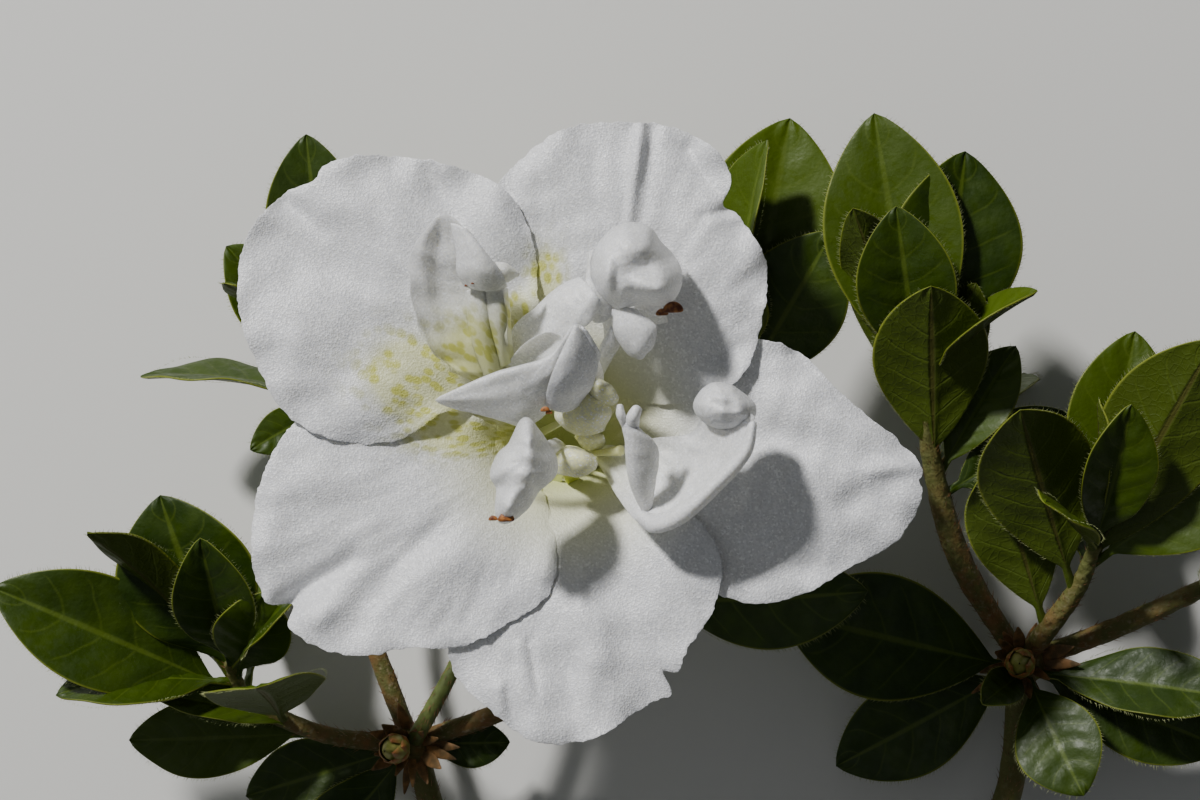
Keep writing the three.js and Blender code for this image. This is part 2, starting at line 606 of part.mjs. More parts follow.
// Shoots: points along the stem, leaf count, first turn, rise and length from low to top leaf
const SHOOTS = {
  shoot_left: {
    points: [NODE_LEFT, [-30, -37.5, 14.5], [-39, -33, 18.5], [-41, -28, 23]],
    radii: [1.2, 1.1, 1, 0.8],
    shown: [
      [0.72, [-8, 588, -16], 10, 0.4, 20, 22],
      [0.76, [87, 533, -7], 150, 0.2, 30, 40],
      [0.84, [160, 495, -16], -10, 0.66, 20, 14],
      [0.92, [200, 538, -10], 0, 0.44, 10, 26],
      [0.86, [266, 592, -13], 10, 0.55, 10, 14],
      [0.5, [256, 688, -6], 180, 0.6, 10, 10],
      [0.42, [143, 692, -22], 30, 0.22, 20, 26],
      [0.36, [129, 740, -30], 0, 0.42, 20, 12],
    ],
    seed: 11, count: 3, turn: 150, rise: [10, 50], length: [28, 20],
  },
  shoot_behind: {
    points: [NODE_LEFT, [-26, -20, 13.5], [-28.5, 0, 17], [-29, 13, 20]],
    radii: [1.2, 1.1, 1, 0.8],
    shown: [
      [0.95, [306, 134, -18], 0, 0.45],
      [0.85, [226, 246, -20], 15, 0.5],
      [0.75, [250, 450, -24], 0, 0.45],
    ],
    seed: 23, count: 6, turn: 130, rise: [8, 40], length: [27, 20],
  },
  shoot_under: {
    points: [NODE_LEFT, [0, -30, 16], [15, -10, 18.5], [22, 9, 21]],
    radii: [1.2, 1.1, 1, 0.8],
    shown: [
      [0.9, [833, 231, -17], 0, 0.52, 10, 10],
      [0.95, [768, 140, -12], -60, 0.34, 14, 30],
      [0.97, [790, 118, -20], 0, 0.55],
      [0.5, [868, 591, -15], 10, 0.4, 20, 12],
    ],
    seed: 37, count: 5, turn: 140, rise: [8, 45], length: [27, 20],
  },
  shoot_upper_right: {
    points: [NODE_RIGHT, [48.7, -16.5, 18], [44.9, -5.5, 22], [42.5, 7, 27]],
    radii: [1.2, 1.5, 1.3, 0.9],
    shown: [
      [0.68, [931, 286, -9], 180, 0.52, 10, 12],
      [0.93, [965, 151, -16], 15, 0.56, 8, 14],
      [0.9, [874, 113, -15], -8, 0.46, 8, 14],
      [0.97, [896, 206, -9], -8, 0.5, 10, 20],
      [0.78, [853, 208, -8], 165, 0.28, 20, 34],
      [0.9, [976, 283, -15], 160, 0.42, 10, 20],
      [0.66, [1016, 346, -24], -20, 0.44, 10, 14],
      [0.6, [1072, 415, -24], 0, 0.5, 10, 14],
    ],
    seed: 41, count: 3, turn: 150, rise: [10, 40], length: [27, 20], without: [1],
  },
  shoot_right: {
    points: [NODE_RIGHT, [59.2, -24, 18], [62.5, -18.5, 21.5], [64, -13.5, 25]],
    radii: [1.2, 1.3, 1.1, 0.8],
    shown: [
      [0.6, [1020, 410, -8], 178, 0.48, 14, 14],
      [0.3, [996, 459, -17], 175, 0.46, 10, 12],
      [0.97, [1099, 399, -13], 90, 0.3, 8, 20],
      [0.95, [1135, 331, -19], 0, 0.48, 10, 16],
      [0.92, [1131, 404, -10], 10, 0.42, 10, 26],
      [0.7, [1215, 340, -8], 175, 0.42, 14, 14],
      [0.8, [1262, 440, -20], 0, 0.5, 14, 14],
    ],
    seed: 53, count: 2, turn: 190, rise: [25, 50], length: [26, 20],
  },
  shoot_far_right: {
    points: [NODE_RIGHT, [67, -24.8, 13.6], [78, -19.3, 17.5], [86, -14.5, 22]],
    radii: [1.2, 1.3, 1.1, 0.8],
    seed: 67, count: 8, turn: 10, rise: [18, 62], length: [26, 16], without: [2],
  },
};

// Leaves that spring from the knuckles themselves
const WHORLS = {
  whorl_left: {
    place: NODE_LEFT, radius: KNUCKLE_LEFT,
    points: [[-19.5, -39, 10.6], [-19.8, -39.6, 12], [-20, -40.2, 13.4]],
    shown: [
      [0, [510, 742, -36], 0, 0.5],
      [0.1, [246, 796, -38], 0, 0.45],
      [0.2, [300, 880, -37], 0, 0.45],
    ],
    seed: 71, count: 1, turn: 172, rise: [-4, 6], length: [27, 24], from: 0.4,
  },
  whorl_right: {
    place: NODE_RIGHT, radius: KNUCKLE_RIGHT,
    points: [[56.5, -28.6, 11.4], [56.8, -29.4, 13], [57, -30.2, 14.6]],
    shown: [
      [0.6, [782, 612, -30], 0, 0.5, 16, 10],
      [0.9, [1084, 796, -24], 10, 0.62, 26, 10],
      [0.8, [1240, 700, -24], -30, 0.36, 10, 18],
      [0.4, [1225, 748, -31], 0, 0.42, 14, 12],
      [0.3, [836, 766, -37], 0, 0.46, 14, 10],
      [0.7, [982, 704, -22], 20, 0.4, 10, 20],
    ],
    seed: 83, count: 0, turn: 100, rise: [-4, 10], length: [27, 23], from: 0.4,
  },
};

function shoot(spec) {
  const stem = limb(spec.points, spec.radii, { around: 6, along: 7 });
  const left = spec.points[0] === NODE_LEFT;
  const node = left ? knuckle(NODE_LEFT, KNUCKLE_LEFT, SEAT_GAP) : knuckle(NODE_RIGHT, KNUCKLE_RIGHT, SEAT_GAP);
  return join([stem, ...leavesOf(spec).map((leaf) => leafSolid(leaf))]).subtract(node);
}

// Buds at the knuckles
const BUD = { length: 6, radius: 1.9 };
const BUDS = {
  bud_left: { place: NODE_LEFT, from: KNUCKLE_LEFT, toward: [-0.33, 0, 0.94] },
  bud_right: { place: NODE_RIGHT, from: KNUCKLE_RIGHT, toward: [-0.15, 0.05, 0.98] },
};
function bud({ place, from, toward }) {
  const axis = vec(toward).normalize();
  const across = new THREE.Vector3(1, 0, 0).cross(axis).normalize();
  const beside = new THREE.Vector3().crossVectors(axis, across);
  const foot = vec(place).addScaledVector(axis, from + SEAT_GAP);
  return solid(new ParametricGeometry((u, v, target) => {
    const turn = 2 * Math.PI * v;
    const radius = BUD.radius * Math.sin(Math.PI * u) ** 0.7 * (1 - 0.35 * u);
    target.copy(foot).addScaledVector(axis, BUD.length * u);
    target.addScaledVector(across, radius * Math.cos(turn)).addScaledVector(beside, radius * Math.sin(turn));
  }, 8, 10));
}

function whorl(spec) {
  return join([knuckle(spec.place, spec.radius), ...leavesOf(spec).map((leaf) => leafSolid(leaf))]);
}

// Branches
const MAIN_STEM = {
  points: [CUT_END, [17.6, -88, 2.9], FORK],
  radii: [2.4, 2.2, 2.1],
};
const BRANCH_LEFT = {
  points: [FORK, [-12, -56, 7.6], NODE_LEFT],
  radii: [1.8, 1.6, 1.5],
};
const BRANCH_RIGHT = {
  points: [FORK, [44, -62, 8], [54.5, -47, 10.5], NODE_RIGHT],
  radii: [1.9, 1.8, 1.7, 1.6],
};

function branch(spec, tip, tipRadius) {
  const whole = limb(spec.points, spec.radii, { along: 10 });
  const trunk = limb(MAIN_STEM.points, MAIN_STEM.radii, { around: 10, along: 10, grow: SEAT_GAP });
  const fork = knuckle(FORK, 2.3, SEAT_GAP);
  return whole.subtract(trunk).subtract(fork).subtract(knuckle(tip, tipRadius, SEAT_GAP));
}

function mainStem() {
  const stem = limb(MAIN_STEM.points, MAIN_STEM.radii, { around: 10, along: 10 });
  return stem.add(knuckle(FORK, 2.3));
}

// Materials
const finish = (color, roughness) => new THREE.MeshStandardMaterial({ color, roughness, metalness: 0 });
const PETAL = finish(0xf1f1ee, 0.55);
const PETAL_INNER = finish(0xeef0dc, 0.55);
const LEAF = finish(0x2f4a12, 0.35);
const BARK = finish(0x6a4a2a, 0.8);
const STALK = finish(0x6f7a34, 0.7);

const plant = new THREE.Group();
plant.position.set(-ORIGIN[0], -ORIGIN[1], -ORIGIN[2]);

function place(name, manifold, material) {
  const mesh = new THREE.Mesh(geometryOf(mainBody(manifold.simplify(FINEST))), material);
  mesh.name = name;
  plant.add(mesh);
}

place("main_stem", mainStem(), BARK);
place("branch_left", branch(BRANCH_LEFT, NODE_LEFT, KNUCKLE_LEFT), BARK);
place("branch_right", branch(BRANCH_RIGHT, NODE_RIGHT, KNUCKLE_RIGHT), BARK);
place("pedicel_and_calyx", pedicel(), STALK);
place("corolla", corollaSolid(), PETAL);
place("pistil", pistil(), PETAL_INNER);

// Each petaloid keeps clear of the throat's wall, the pistil and those placed before it
let taken = corollaSolid(SEAT_GAP).add(pistil(SEAT_GAP));
for (const [name, spec] of Object.entries(PETALOIDS)) {
  let made = mainBody(petaloid(spec).subtract(taken));
  if (spec.anther) made = mainBody(made.add(anther(spec.anther)).subtract(taken));
  place(`petaloid_${name}`, made, name === "inner" || name === "small" ? PETAL_INNER : PETAL);
  taken = taken.add(petaloid(spec, SEAT_GAP));
}
for (const [name, spec] of Object.entries(SHOOTS)) place(name, shoot(spec), LEAF);
for (const [name, spec] of Object.entries(WHORLS)) place(name, whorl(spec), LEAF);
for (const [name, spec] of Object.entries(BUDS)) place(name, bud(spec), STALK);

export default plant;
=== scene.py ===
import math

import bpy
import numpy as np
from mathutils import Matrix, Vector


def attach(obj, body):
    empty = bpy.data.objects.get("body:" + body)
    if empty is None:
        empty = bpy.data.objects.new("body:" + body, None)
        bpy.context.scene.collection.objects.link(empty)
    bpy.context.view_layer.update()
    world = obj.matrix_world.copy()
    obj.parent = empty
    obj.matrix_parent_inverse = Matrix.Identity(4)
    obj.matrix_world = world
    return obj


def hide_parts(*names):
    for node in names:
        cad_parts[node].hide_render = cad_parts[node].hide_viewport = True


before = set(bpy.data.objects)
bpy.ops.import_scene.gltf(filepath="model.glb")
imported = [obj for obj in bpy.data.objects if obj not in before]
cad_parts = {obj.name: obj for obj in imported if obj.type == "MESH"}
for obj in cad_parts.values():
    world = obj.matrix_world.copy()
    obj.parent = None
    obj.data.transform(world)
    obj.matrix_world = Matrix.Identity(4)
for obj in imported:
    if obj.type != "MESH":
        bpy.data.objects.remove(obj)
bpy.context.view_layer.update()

# The plant is drawn in millimetres with the middle of the open bloom above x = 0, y = 0.
# ORIGIN is the point of that drawing that lies at the frame's origin.
MM = 0.001
ORIGIN = np.array([16.0, -33.0, 0.0])
DEG = math.pi / 180

# Driving dimensions, as in the solids
BLOOM_HEIGHT = 46.0
SOLID_LEAF_THICKNESS = 0.75
PETIOLE = 0.13
SEAT_GAP = 0.3
DISH_RIM = 1.6
DISH_DEPTH = 110.0
DISH_POWER = 1.28
DISH_INNER = 4.5
DISH_DROOP = 0.0012
DROOP_FROM = 20.0
TUBE_TOP = -3.2
TUBE_BASE = -27.0
TUBE_BASE_RADIUS = 2.3
TUBE_SHIFT = (-7.0, -14.0)
CUT_END = (22, -104, 2.4)
FORK = (14, -72, 4.6)
NODE_LEFT = (-19.5, -39, 12)
NODE_RIGHT = (56.5, -28.6, 13)
KNUCKLE_LEFT = 2.4
KNUCKLE_RIGHT = 3.0
GOLDEN_TURN = 137.5

# Thin parts, which the solids have thicker than life
PETAL_THICKNESS = 0.36
PETALOID_THICKNESS = 0.4
FLAP_THICKNESS = 0.36
LEAF_THICKNESS = 0.34
TUBE_WALL = 0.5

# The photograph's view, straight down. A seen place has its pixels across and down, and its height over
# the petals' level in mm.
PIXEL = 0.115  # mm to a pixel at the petals' level
VIEW_WIDTH = 1200
VIEW_MIDDLE = (600, 400)
VIEW_POINT = (4, 4)  # what lies under the middle pixel
VIEW_DISTANCE = 400.0


def seen(place):
    """The point of the drawing that the view shows there; a place's three values may be arrays."""
    across, down, height = place
    step = PIXEL * (1 - height / VIEW_DISTANCE)
    x = VIEW_POINT[0] + (across - VIEW_MIDDLE[0]) * step
    y = VIEW_POINT[1] - (down - VIEW_MIDDLE[1]) * step
    return np.stack([x, y, height + BLOOM_HEIGHT], -1)


# Small numeric helpers
def mix(a, b, t):
    return a + (b - a) * t


def smooth(t):
    t = np.clip(t, 0, 1)
    return t * t * (3 - 2 * t)


def bell(x):
    return np.exp(-x * x)


def unit(v):
    v = np.asarray(v, float)
    return v / np.maximum(np.linalg.norm(v, axis=-1, keepdims=True), 1e-9)


def turn_from(start, turn):
    """The turn from start, as an angle between minus and plus half a circle."""
    return np.arctan2(np.sin(turn - start), np.cos(turn - start))


def circle(count):
    return np.linspace(0, 2 * math.pi, count, endpoint=False)


def net(rows, columns, top=1.0):
    """Values from 0 to top down the rows, and turns round a circle across the columns."""
    return np.meshgrid(np.linspace(0, top, rows), circle(columns), indexing="ij")


def spokes(across, beside, turn):
    """Directions that turn from across toward beside."""
    turn = np.asarray(turn)[..., None]
    return across * np.cos(turn) + beside * np.sin(turn)


def seeded(seed):
    """Repeatable random numbers from 0 to 1, the same as the solids'."""
    state = seed

    def draw():
        nonlocal state
        state = (state * 1664525 + 1013904223) % 4294967296
        return state / 4294967296

    return draw


def between(a, b, c, d, f):
    """The Catmull-Rom curve from b to c, at the share f of the way."""
    return b + 0.5 * f * (c - a + f * (2 * a - 5 * b + 4 * c - d + f * (3 * (b - c) + d - a)))


def smooth_list(values, t, closed=False):
    """Values at evenly spaced places, joined by a smooth curve; a value may be a point."""
    values = np.asarray(values, float)
    n = len(values)
    span = n if closed else n - 1
    x = np.asarray(t, float) * span if closed else np.clip(t, 0, 1) * span
    i = np.minimum(np.floor(x), span - 1).astype(int)
    f = x - i
    if values.ndim > 1:
        f = f[..., None]

    def at(k):
        return values[k % n] if closed else values[np.clip(k, 0, n - 1)]

    return between(at(i - 1), at(i), at(i + 1), at(i + 2), f)


def curve_point(points, t):
    """A point on the smooth curve through points, whose ends are carried on straight."""
    points = np.asarray(points, float)
    padded = np.vstack([2 * points[0] - points[1], points, 2 * points[-1] - points[-2]])
    x = np.clip(np.asarray(t, float), 0, 1) * (len(points) - 1)
    i = np.minimum(np.floor(x), len(points) - 2).astype(int)
    return between(padded[i], padded[i + 1], padded[i + 2], padded[i + 3], (x - i)[..., None])


def frames_along(points, t):
    """Place, tangent, normal and side along a curve."""
    t = np.asarray(t, float)
    tangent = unit(curve_point(points, t + 0.01) - curve_point(points, t - 0.01))
    face = np.array([0.13, 0.21, 0.97])
    normal = unit(face - tangent * (tangent @ face)[..., None])
    return curve_point(points, t), tangent, normal, np.cross(tangent, normal)


def ripple(x, y, size, seed):
    """Smooth uneven waves of about the given size, from -1 to 1."""
    draw = seeded(seed)
    total = 0
    for _ in range(6):
        turn = 2 * math.pi * draw()
        scale = 2 * math.pi / size * mix(0.6, 1.5, draw())
        total = total + np.sin((x * math.cos(turn) + y * math.sin(turn)) * scale + 6.3 * draw())
    return total / 3.4


def add_object(name, data):
    made = bpy.data.objects.new(name, data)
    bpy.context.scene.collection.objects.link(made)
    return made


# Meshes are gathered from patches, and made into one object each
class Piece:
    """A mesh gathered from grids of points, with a vector kept for each point."""

    def __init__(self, name):
        self.name = name
        self.points, self.faces, self.kept, self.slots, self.count = [], [], [], [], 0

    def grid(self, points, kept=0.0, around=True, closed=False, slots=0, flip=False):
        """points is rows x columns x 3. around joins the last column to the first, closed the last row."""
        rows, columns = points.shape[:2]
        ids = self.count + np.arange(rows * columns).reshape(rows, columns)
        if around:
            ids = np.hstack([ids, ids[:, :1]])
        if closed:
            ids = np.vstack([ids, ids[:1]])
        quads = np.stack([ids[:-1, :-1], ids[:-1, 1:], ids[1:, 1:], ids[1:, :-1]], -1)
        if flip:
            quads = quads[..., ::-1]
        self.faces.append(quads.reshape(-1, 4))
        self.slots.append(np.broadcast_to(slots, quads.shape[:2]).reshape(-1))
        self.points.append(points.reshape(-1, 3))
        self.kept.append(np.broadcast_to(kept, points.shape).reshape(-1, 3))
        self.count += rows * columns
        return self

    def make(self, node, slot, *materials):
        points = (np.vstack(self.points) - ORIGIN) * MM
        faces = np.vstack(self.faces)
        mesh = bpy.data.meshes.new(self.name)
        mesh.from_pydata(points.tolist(), [], faces.tolist())
        for material in materials:
            mesh.materials.append(material)
        mesh.polygons.foreach_set("material_index", np.concatenate(self.slots).astype(np.int32))
        mesh.polygons.foreach_set("use_smooth", np.ones(len(faces), dtype=bool))
        kept = mesh.attributes.new("kept", "FLOAT_VECTOR", "POINT")
        kept.data.foreach_set("vector", np.vstack(self.kept).astype(np.float32).ravel())
        mesh.update()
        piece = add_object(self.name, mesh)
        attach(piece, "root")
        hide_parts(node)


# Materials
class Shader:
    """A material whose nodes are added and joined in short calls."""

    def __init__(self, name):
        self.material = bpy.data.materials.new(name)
        self.material.use_nodes = True
        self.tree = self.material.node_tree
        self.place = self.node("TexCoord")["Object"]

    def put(self, sockets, values):
        """Gives each socket a number or a colour, or joins another node's output to it."""
        for key, value in values.items():
            if isinstance(value, bpy.types.NodeSocket):
                self.tree.links.new(value, sockets[key])
            else:
                sockets[key].default_value = value

    def set(self, **values):
        surface = self.tree.nodes["Principled BSDF"].inputs
        self.put(surface, {key.replace("_", " "): value for key, value in values.items()})

    def node(self, kind, values=None, **settings):
        """Adds a node, and gives its outputs."""
        made = self.tree.nodes.new("ShaderNode" + kind)
        for key, value in settings.items():
            setattr(made, key, value)
        self.put(made.inputs, values or {})
        return made.outputs

    def math(self, operation, a, b=0.0):
        return self.node("Math", {0: a, 1: b}, operation=operation)[0]

    def times(self, a, b):
        return self.math("MULTIPLY", a, b)

    def ramp(self, value, start, end):
        """0 up to the start and 1 from the end on; the start may be the higher of the two."""
        values = {"Value": value, "From Min": start, "From Max": end}
        return self.node("MapRange", values, interpolation_type="SMOOTHSTEP")["Result"]

    def mix(self, share, a, b, most=1.0):
        """From a toward b, by most at a share of 1."""
        values = {"Factor": self.times(share, most), "A": a, "B": b}
        return self.node("Mix", values, data_type="RGBA")["Result"]

    def noise(self, scale, detail=3.0):
        return self.node("TexNoise", {"Vector": self.place, "Scale": scale, "Detail": detail})["Fac"]

    def cloud(self, scale, start, end, detail=3.0):
        return self.ramp(self.noise(scale, detail), start, end)

    def cells(self, scale, vector=None, feature="F1"):
        return self.node("TexVoronoi", {"Vector": vector or self.place, "Scale": scale}, feature=feature)

    def kept(self):
        """The vector kept at each point, as three values."""
        return self.node("SeparateXYZ", {0: self.node("Attribute", attribute_name="kept")["Vector"]})

    def bump(self, height, strength, distance, before=None):
        values = {"Height": height, "Strength": strength, "Distance": distance}
        if before is not None:
            values["Normal"] = before
        return self.node("Bump", values)["Normal"]


def colour(red, green, blue):
    return (red, green, blue, 1.0)


PETAL_WHITE = colour(0.815, 0.82, 0.84)
PETAL_GREY = colour(0.53, 0.54, 0.57)
# Painted glint: the colour that the brightest skin cells get, as painted highlights
PETAL_PAINTED_GLINT = colour(0.97, 0.98, 1.0)
PETAL_CREAM = colour(0.80, 0.80, 0.47)
THROAT_GREEN = colour(0.60, 0.65, 0.26)
FLECK = colour(0.36, 0.37, 0.012)
FLECK_HAZE = colour(0.72, 0.73, 0.22)
PETAL_CELLS = 4500.0  # glistening cells of the skin, to a metre
FAR = 40.0  # distance from the throat's middle that counts as 1
FLECKS_OUT = 26.0  # flecks to FAR, along a line out of the throat
FLECKS_ROUND = 17.0  # flecks to a radian, round the throat


def petal_material(name, white=PETAL_WHITE, cream=PETAL_CREAM, deep=THROAT_GREEN, glow=0.22, grain=0.6):
    """White petal: kept holds the distance from the throat, the strength of flecks, and the turn."""
    shader = Shader(name)
    far, flecked, turn = shader.kept()
    skin = shader.cells(PETAL_CELLS)
    # Painted glitter of the skin: a random grey share darkens some cells, and the brightest get the painted
    # glint
    shade, glint, _ = shader.node("SeparateColor", {0: skin["Color"]})
    base = shader.mix(shade, white, PETAL_GREY, 0.6)
    base = shader.mix(shader.ramp(glint, 0.84, 0.96), base, PETAL_PAINTED_GLINT, 0.9)
    base = shader.mix(shader.cloud(160.0, 0.4, 0.7), base, PETAL_GREY, 0.12)
    base = shader.mix(shader.ramp(far, 19 / FAR, 4 / FAR), base, cream, 0.95)
    base = shader.mix(shader.ramp(far, 9 / FAR, 3 / FAR), base, deep)
    streaks = {0: shader.times(far, FLECKS_OUT), 1: shader.times(turn, FLECKS_ROUND)}
    streaks = shader.node("CombineXYZ", streaks)[0]
    spots = shader.ramp(shader.cells(1.0, streaks)["Distance"], 0.58, 0.3)
    spots = shader.times(spots, shader.cloud(300.0, 0.25, 0.45))
    base = shader.mix(shader.times(spots, flecked), base, FLECK, 0.95)
    base = shader.mix(shader.times(flecked, flecked), base, FLECK_HAZE, 0.55)
    veins = shader.bump(shader.noise(700.0), 0.08, 0.0002)
    shader.set(Base_Color=base, Roughness=0.42, Normal=shader.bump(skin["Distance"], grain, 0.0001, veins))
    shader.set(Subsurface_Weight=glow, Subsurface_Scale=0.0012, Subsurface_Radius=(1.0, 0.95, 0.8))
    return shader.material


LEAF_DARK = colour(0.015, 0.034, 0.001)
LEAF_LIGHT = colour(0.060, 0.098, 0.003)
LEAF_RIM = colour(0.24, 0.27, 0.03)
LEAF_VEIN = colour(0.090, 0.130, 0.012)
UNDER_GREEN = colour(0.055, 0.078, 0.008)
UNDER_VEIN = colour(0.085, 0.068, 0.018)
VEIN_PAIRS = 7.0
VEIN_SLANT = 1.15
VEIN_BEND = 1.3


def leaf_material(name, upper):
    """Leaf, upper or under side: kept holds the place along, the place across, and the tone."""
    shader = Shader(name)
    along, across, tone = shader.kept()
    out = shader.math("ABSOLUTE", across)
    slant = shader.times(shader.math("POWER", out, VEIN_BEND), VEIN_SLANT)
    slant = shader.math("ADD", slant, shader.times(shader.noise(300.0, 1.0), 0.25))
    phase = shader.math("SUBTRACT", shader.times(along, VEIN_PAIRS), slant)
    lateral = shader.ramp(shader.math("PINGPONG", phase, 0.5), 0.07, 0.0)
    lateral = shader.times(lateral, shader.ramp(out, 0.92, 0.72))
    middle = shader.ramp(out, 0.075, 0.02)
    vein = shader.math("MAXIMUM", shader.times(lateral, 0.5 if upper else 0.35), middle)
    blotch = shader.noise(260.0)
    if upper:
        base = shader.mix(shader.ramp(tone, 0.0, 1.0), LEAF_DARK, LEAF_LIGHT)
        base = shader.mix(shader.ramp(blotch, 0.35, 0.75), base, LEAF_LIGHT, 0.35)
        base = shader.mix(vein, base, LEAF_VEIN, 0.6)
        roughness = shader.math("ADD", 0.4, shader.times(shader.cloud(900.0, 0.3, 0.7), 0.18))
    else:
        base = shader.mix(blotch, UNDER_GREEN, LEAF_LIGHT, 0.5)
        base = shader.mix(lateral, base, LEAF_VEIN, 0.35)
        base = shader.mix(middle, base, UNDER_VEIN, 0.6)
        roughness = 0.5
    base = shader.mix(shader.ramp(out, 0.95, 1.0), base, LEAF_RIM, 0.7)
    small_veins = shader.ramp(shader.cells(900.0, feature="DISTANCE_TO_EDGE")["Distance"], 0.12, 0.0)
    relief = shader.math("ADD", vein, shader.times(small_veins, 0.14))
    relief = shader.bump(relief, -0.6 if upper else 0.4, 0.0004)
    shader.set(Base_Color=base, Roughness=roughness, Specular_IOR_Level=0.28)
    shader.set(Normal=shader.bump(shader.noise(1500.0), 0.35, 0.0002, relief))
    return shader.material


BARK_OLIVE = colour(0.078, 0.080, 0.014)
BARK_BROWN = colour(0.16, 0.080, 0.022)
BARK_PALE = colour(0.20, 0.16, 0.09)
BARK_GREEN = colour(0.095, 0.105, 0.022)


def bark_material():
    """Young bark: olive and brown in streaks with pale flecks, greener toward the shoot's tip."""
    shader = Shader("bark")
    base = shader.mix(shader.cloud(500.0, 0.35, 0.7, 5.0), BARK_OLIVE, BARK_BROWN)
    base = shader.mix(shader.cloud(1500.0, 0.55, 0.75, 2.0), base, BARK_PALE)
    base = shader.mix(shader.ramp(shader.kept()[0], 0.1, 0.9), base, BARK_GREEN, 0.8)
    shader.set(Base_Color=base, Roughness=0.72, Normal=shader.bump(shader.noise(1800.0, 5.0), 0.7, 0.0003))
    return shader.material


def plain_material(name, light, dark, scale=900.0, roughness=0.6, tip=None):
    """Two colours in soft patches, and a third toward the tip, where kept says how near that is."""
    shader = Shader(name)
    base = shader.mix(shader.cloud(scale, 0.35, 0.68), dark, light)
    if tip:
        base = shader.mix(shader.ramp(shader.kept()[0], 0.45, 0.95), base, tip)
    shader.set(Base_Color=base, Roughness=roughness, Normal=shader.bump(shader.noise(scale * 3), 0.3, 0.0002))
    return shader.material


PETAL = petal_material("petal")
PETALOID = petal_material("petaloid", white=colour(0.87, 0.87, 0.85), cream=colour(0.82, 0.83, 0.54),
                          deep=colour(0.68, 0.72, 0.32), glow=0.55, grain=0.3)
THROAT = petal_material("throat_flap", white=colour(0.86, 0.86, 0.44), cream=colour(0.80, 0.81, 0.28),
                        deep=colour(0.62, 0.68, 0.16), glow=0.5, grain=0.3)
LEAF_UPPER = leaf_material("leaf_upper", True)
LEAF_UNDER = leaf_material("leaf_under", False)
BARK = bark_material()
WOOD_END = plain_material("cut_wood", colour(0.62, 0.55, 0.33), colour(0.42, 0.36, 0.18), 1200.0, 0.8)
STALK = plain_material("stalk", colour(0.13, 0.17, 0.04), colour(0.085, 0.11, 0.02))
SCALE = plain_material("bud_scale", colour(0.34, 0.32, 0.09), colour(0.20, 0.22, 0.04), roughness=0.5,
                       tip=colour(0.30, 0.12, 0.035))
BRACT = plain_material("bract", colour(0.24, 0.12, 0.04), colour(0.10, 0.06, 0.02), 800.0)
BRISTLE = plain_material("bristle", colour(0.30, 0.15, 0.06), colour(0.18, 0.07, 0.03))
HAIR = plain_material("hair", colour(0.40, 0.42, 0.20), colour(0.26, 0.30, 0.12))
ANTHER = plain_material("anther", colour(0.40, 0.15, 0.03), colour(0.12, 0.03, 0.008), 1800.0, 0.5)


# Bloom
def dish(radius):
    """Depth of the shallow dish that the open petals share."""
    r = np.maximum(radius, DISH_INNER)
    droop = DISH_DROOP * np.maximum(0, r - DROOP_FROM) ** 2
    return DISH_RIM - DISH_DEPTH / r ** DISH_POWER - droop


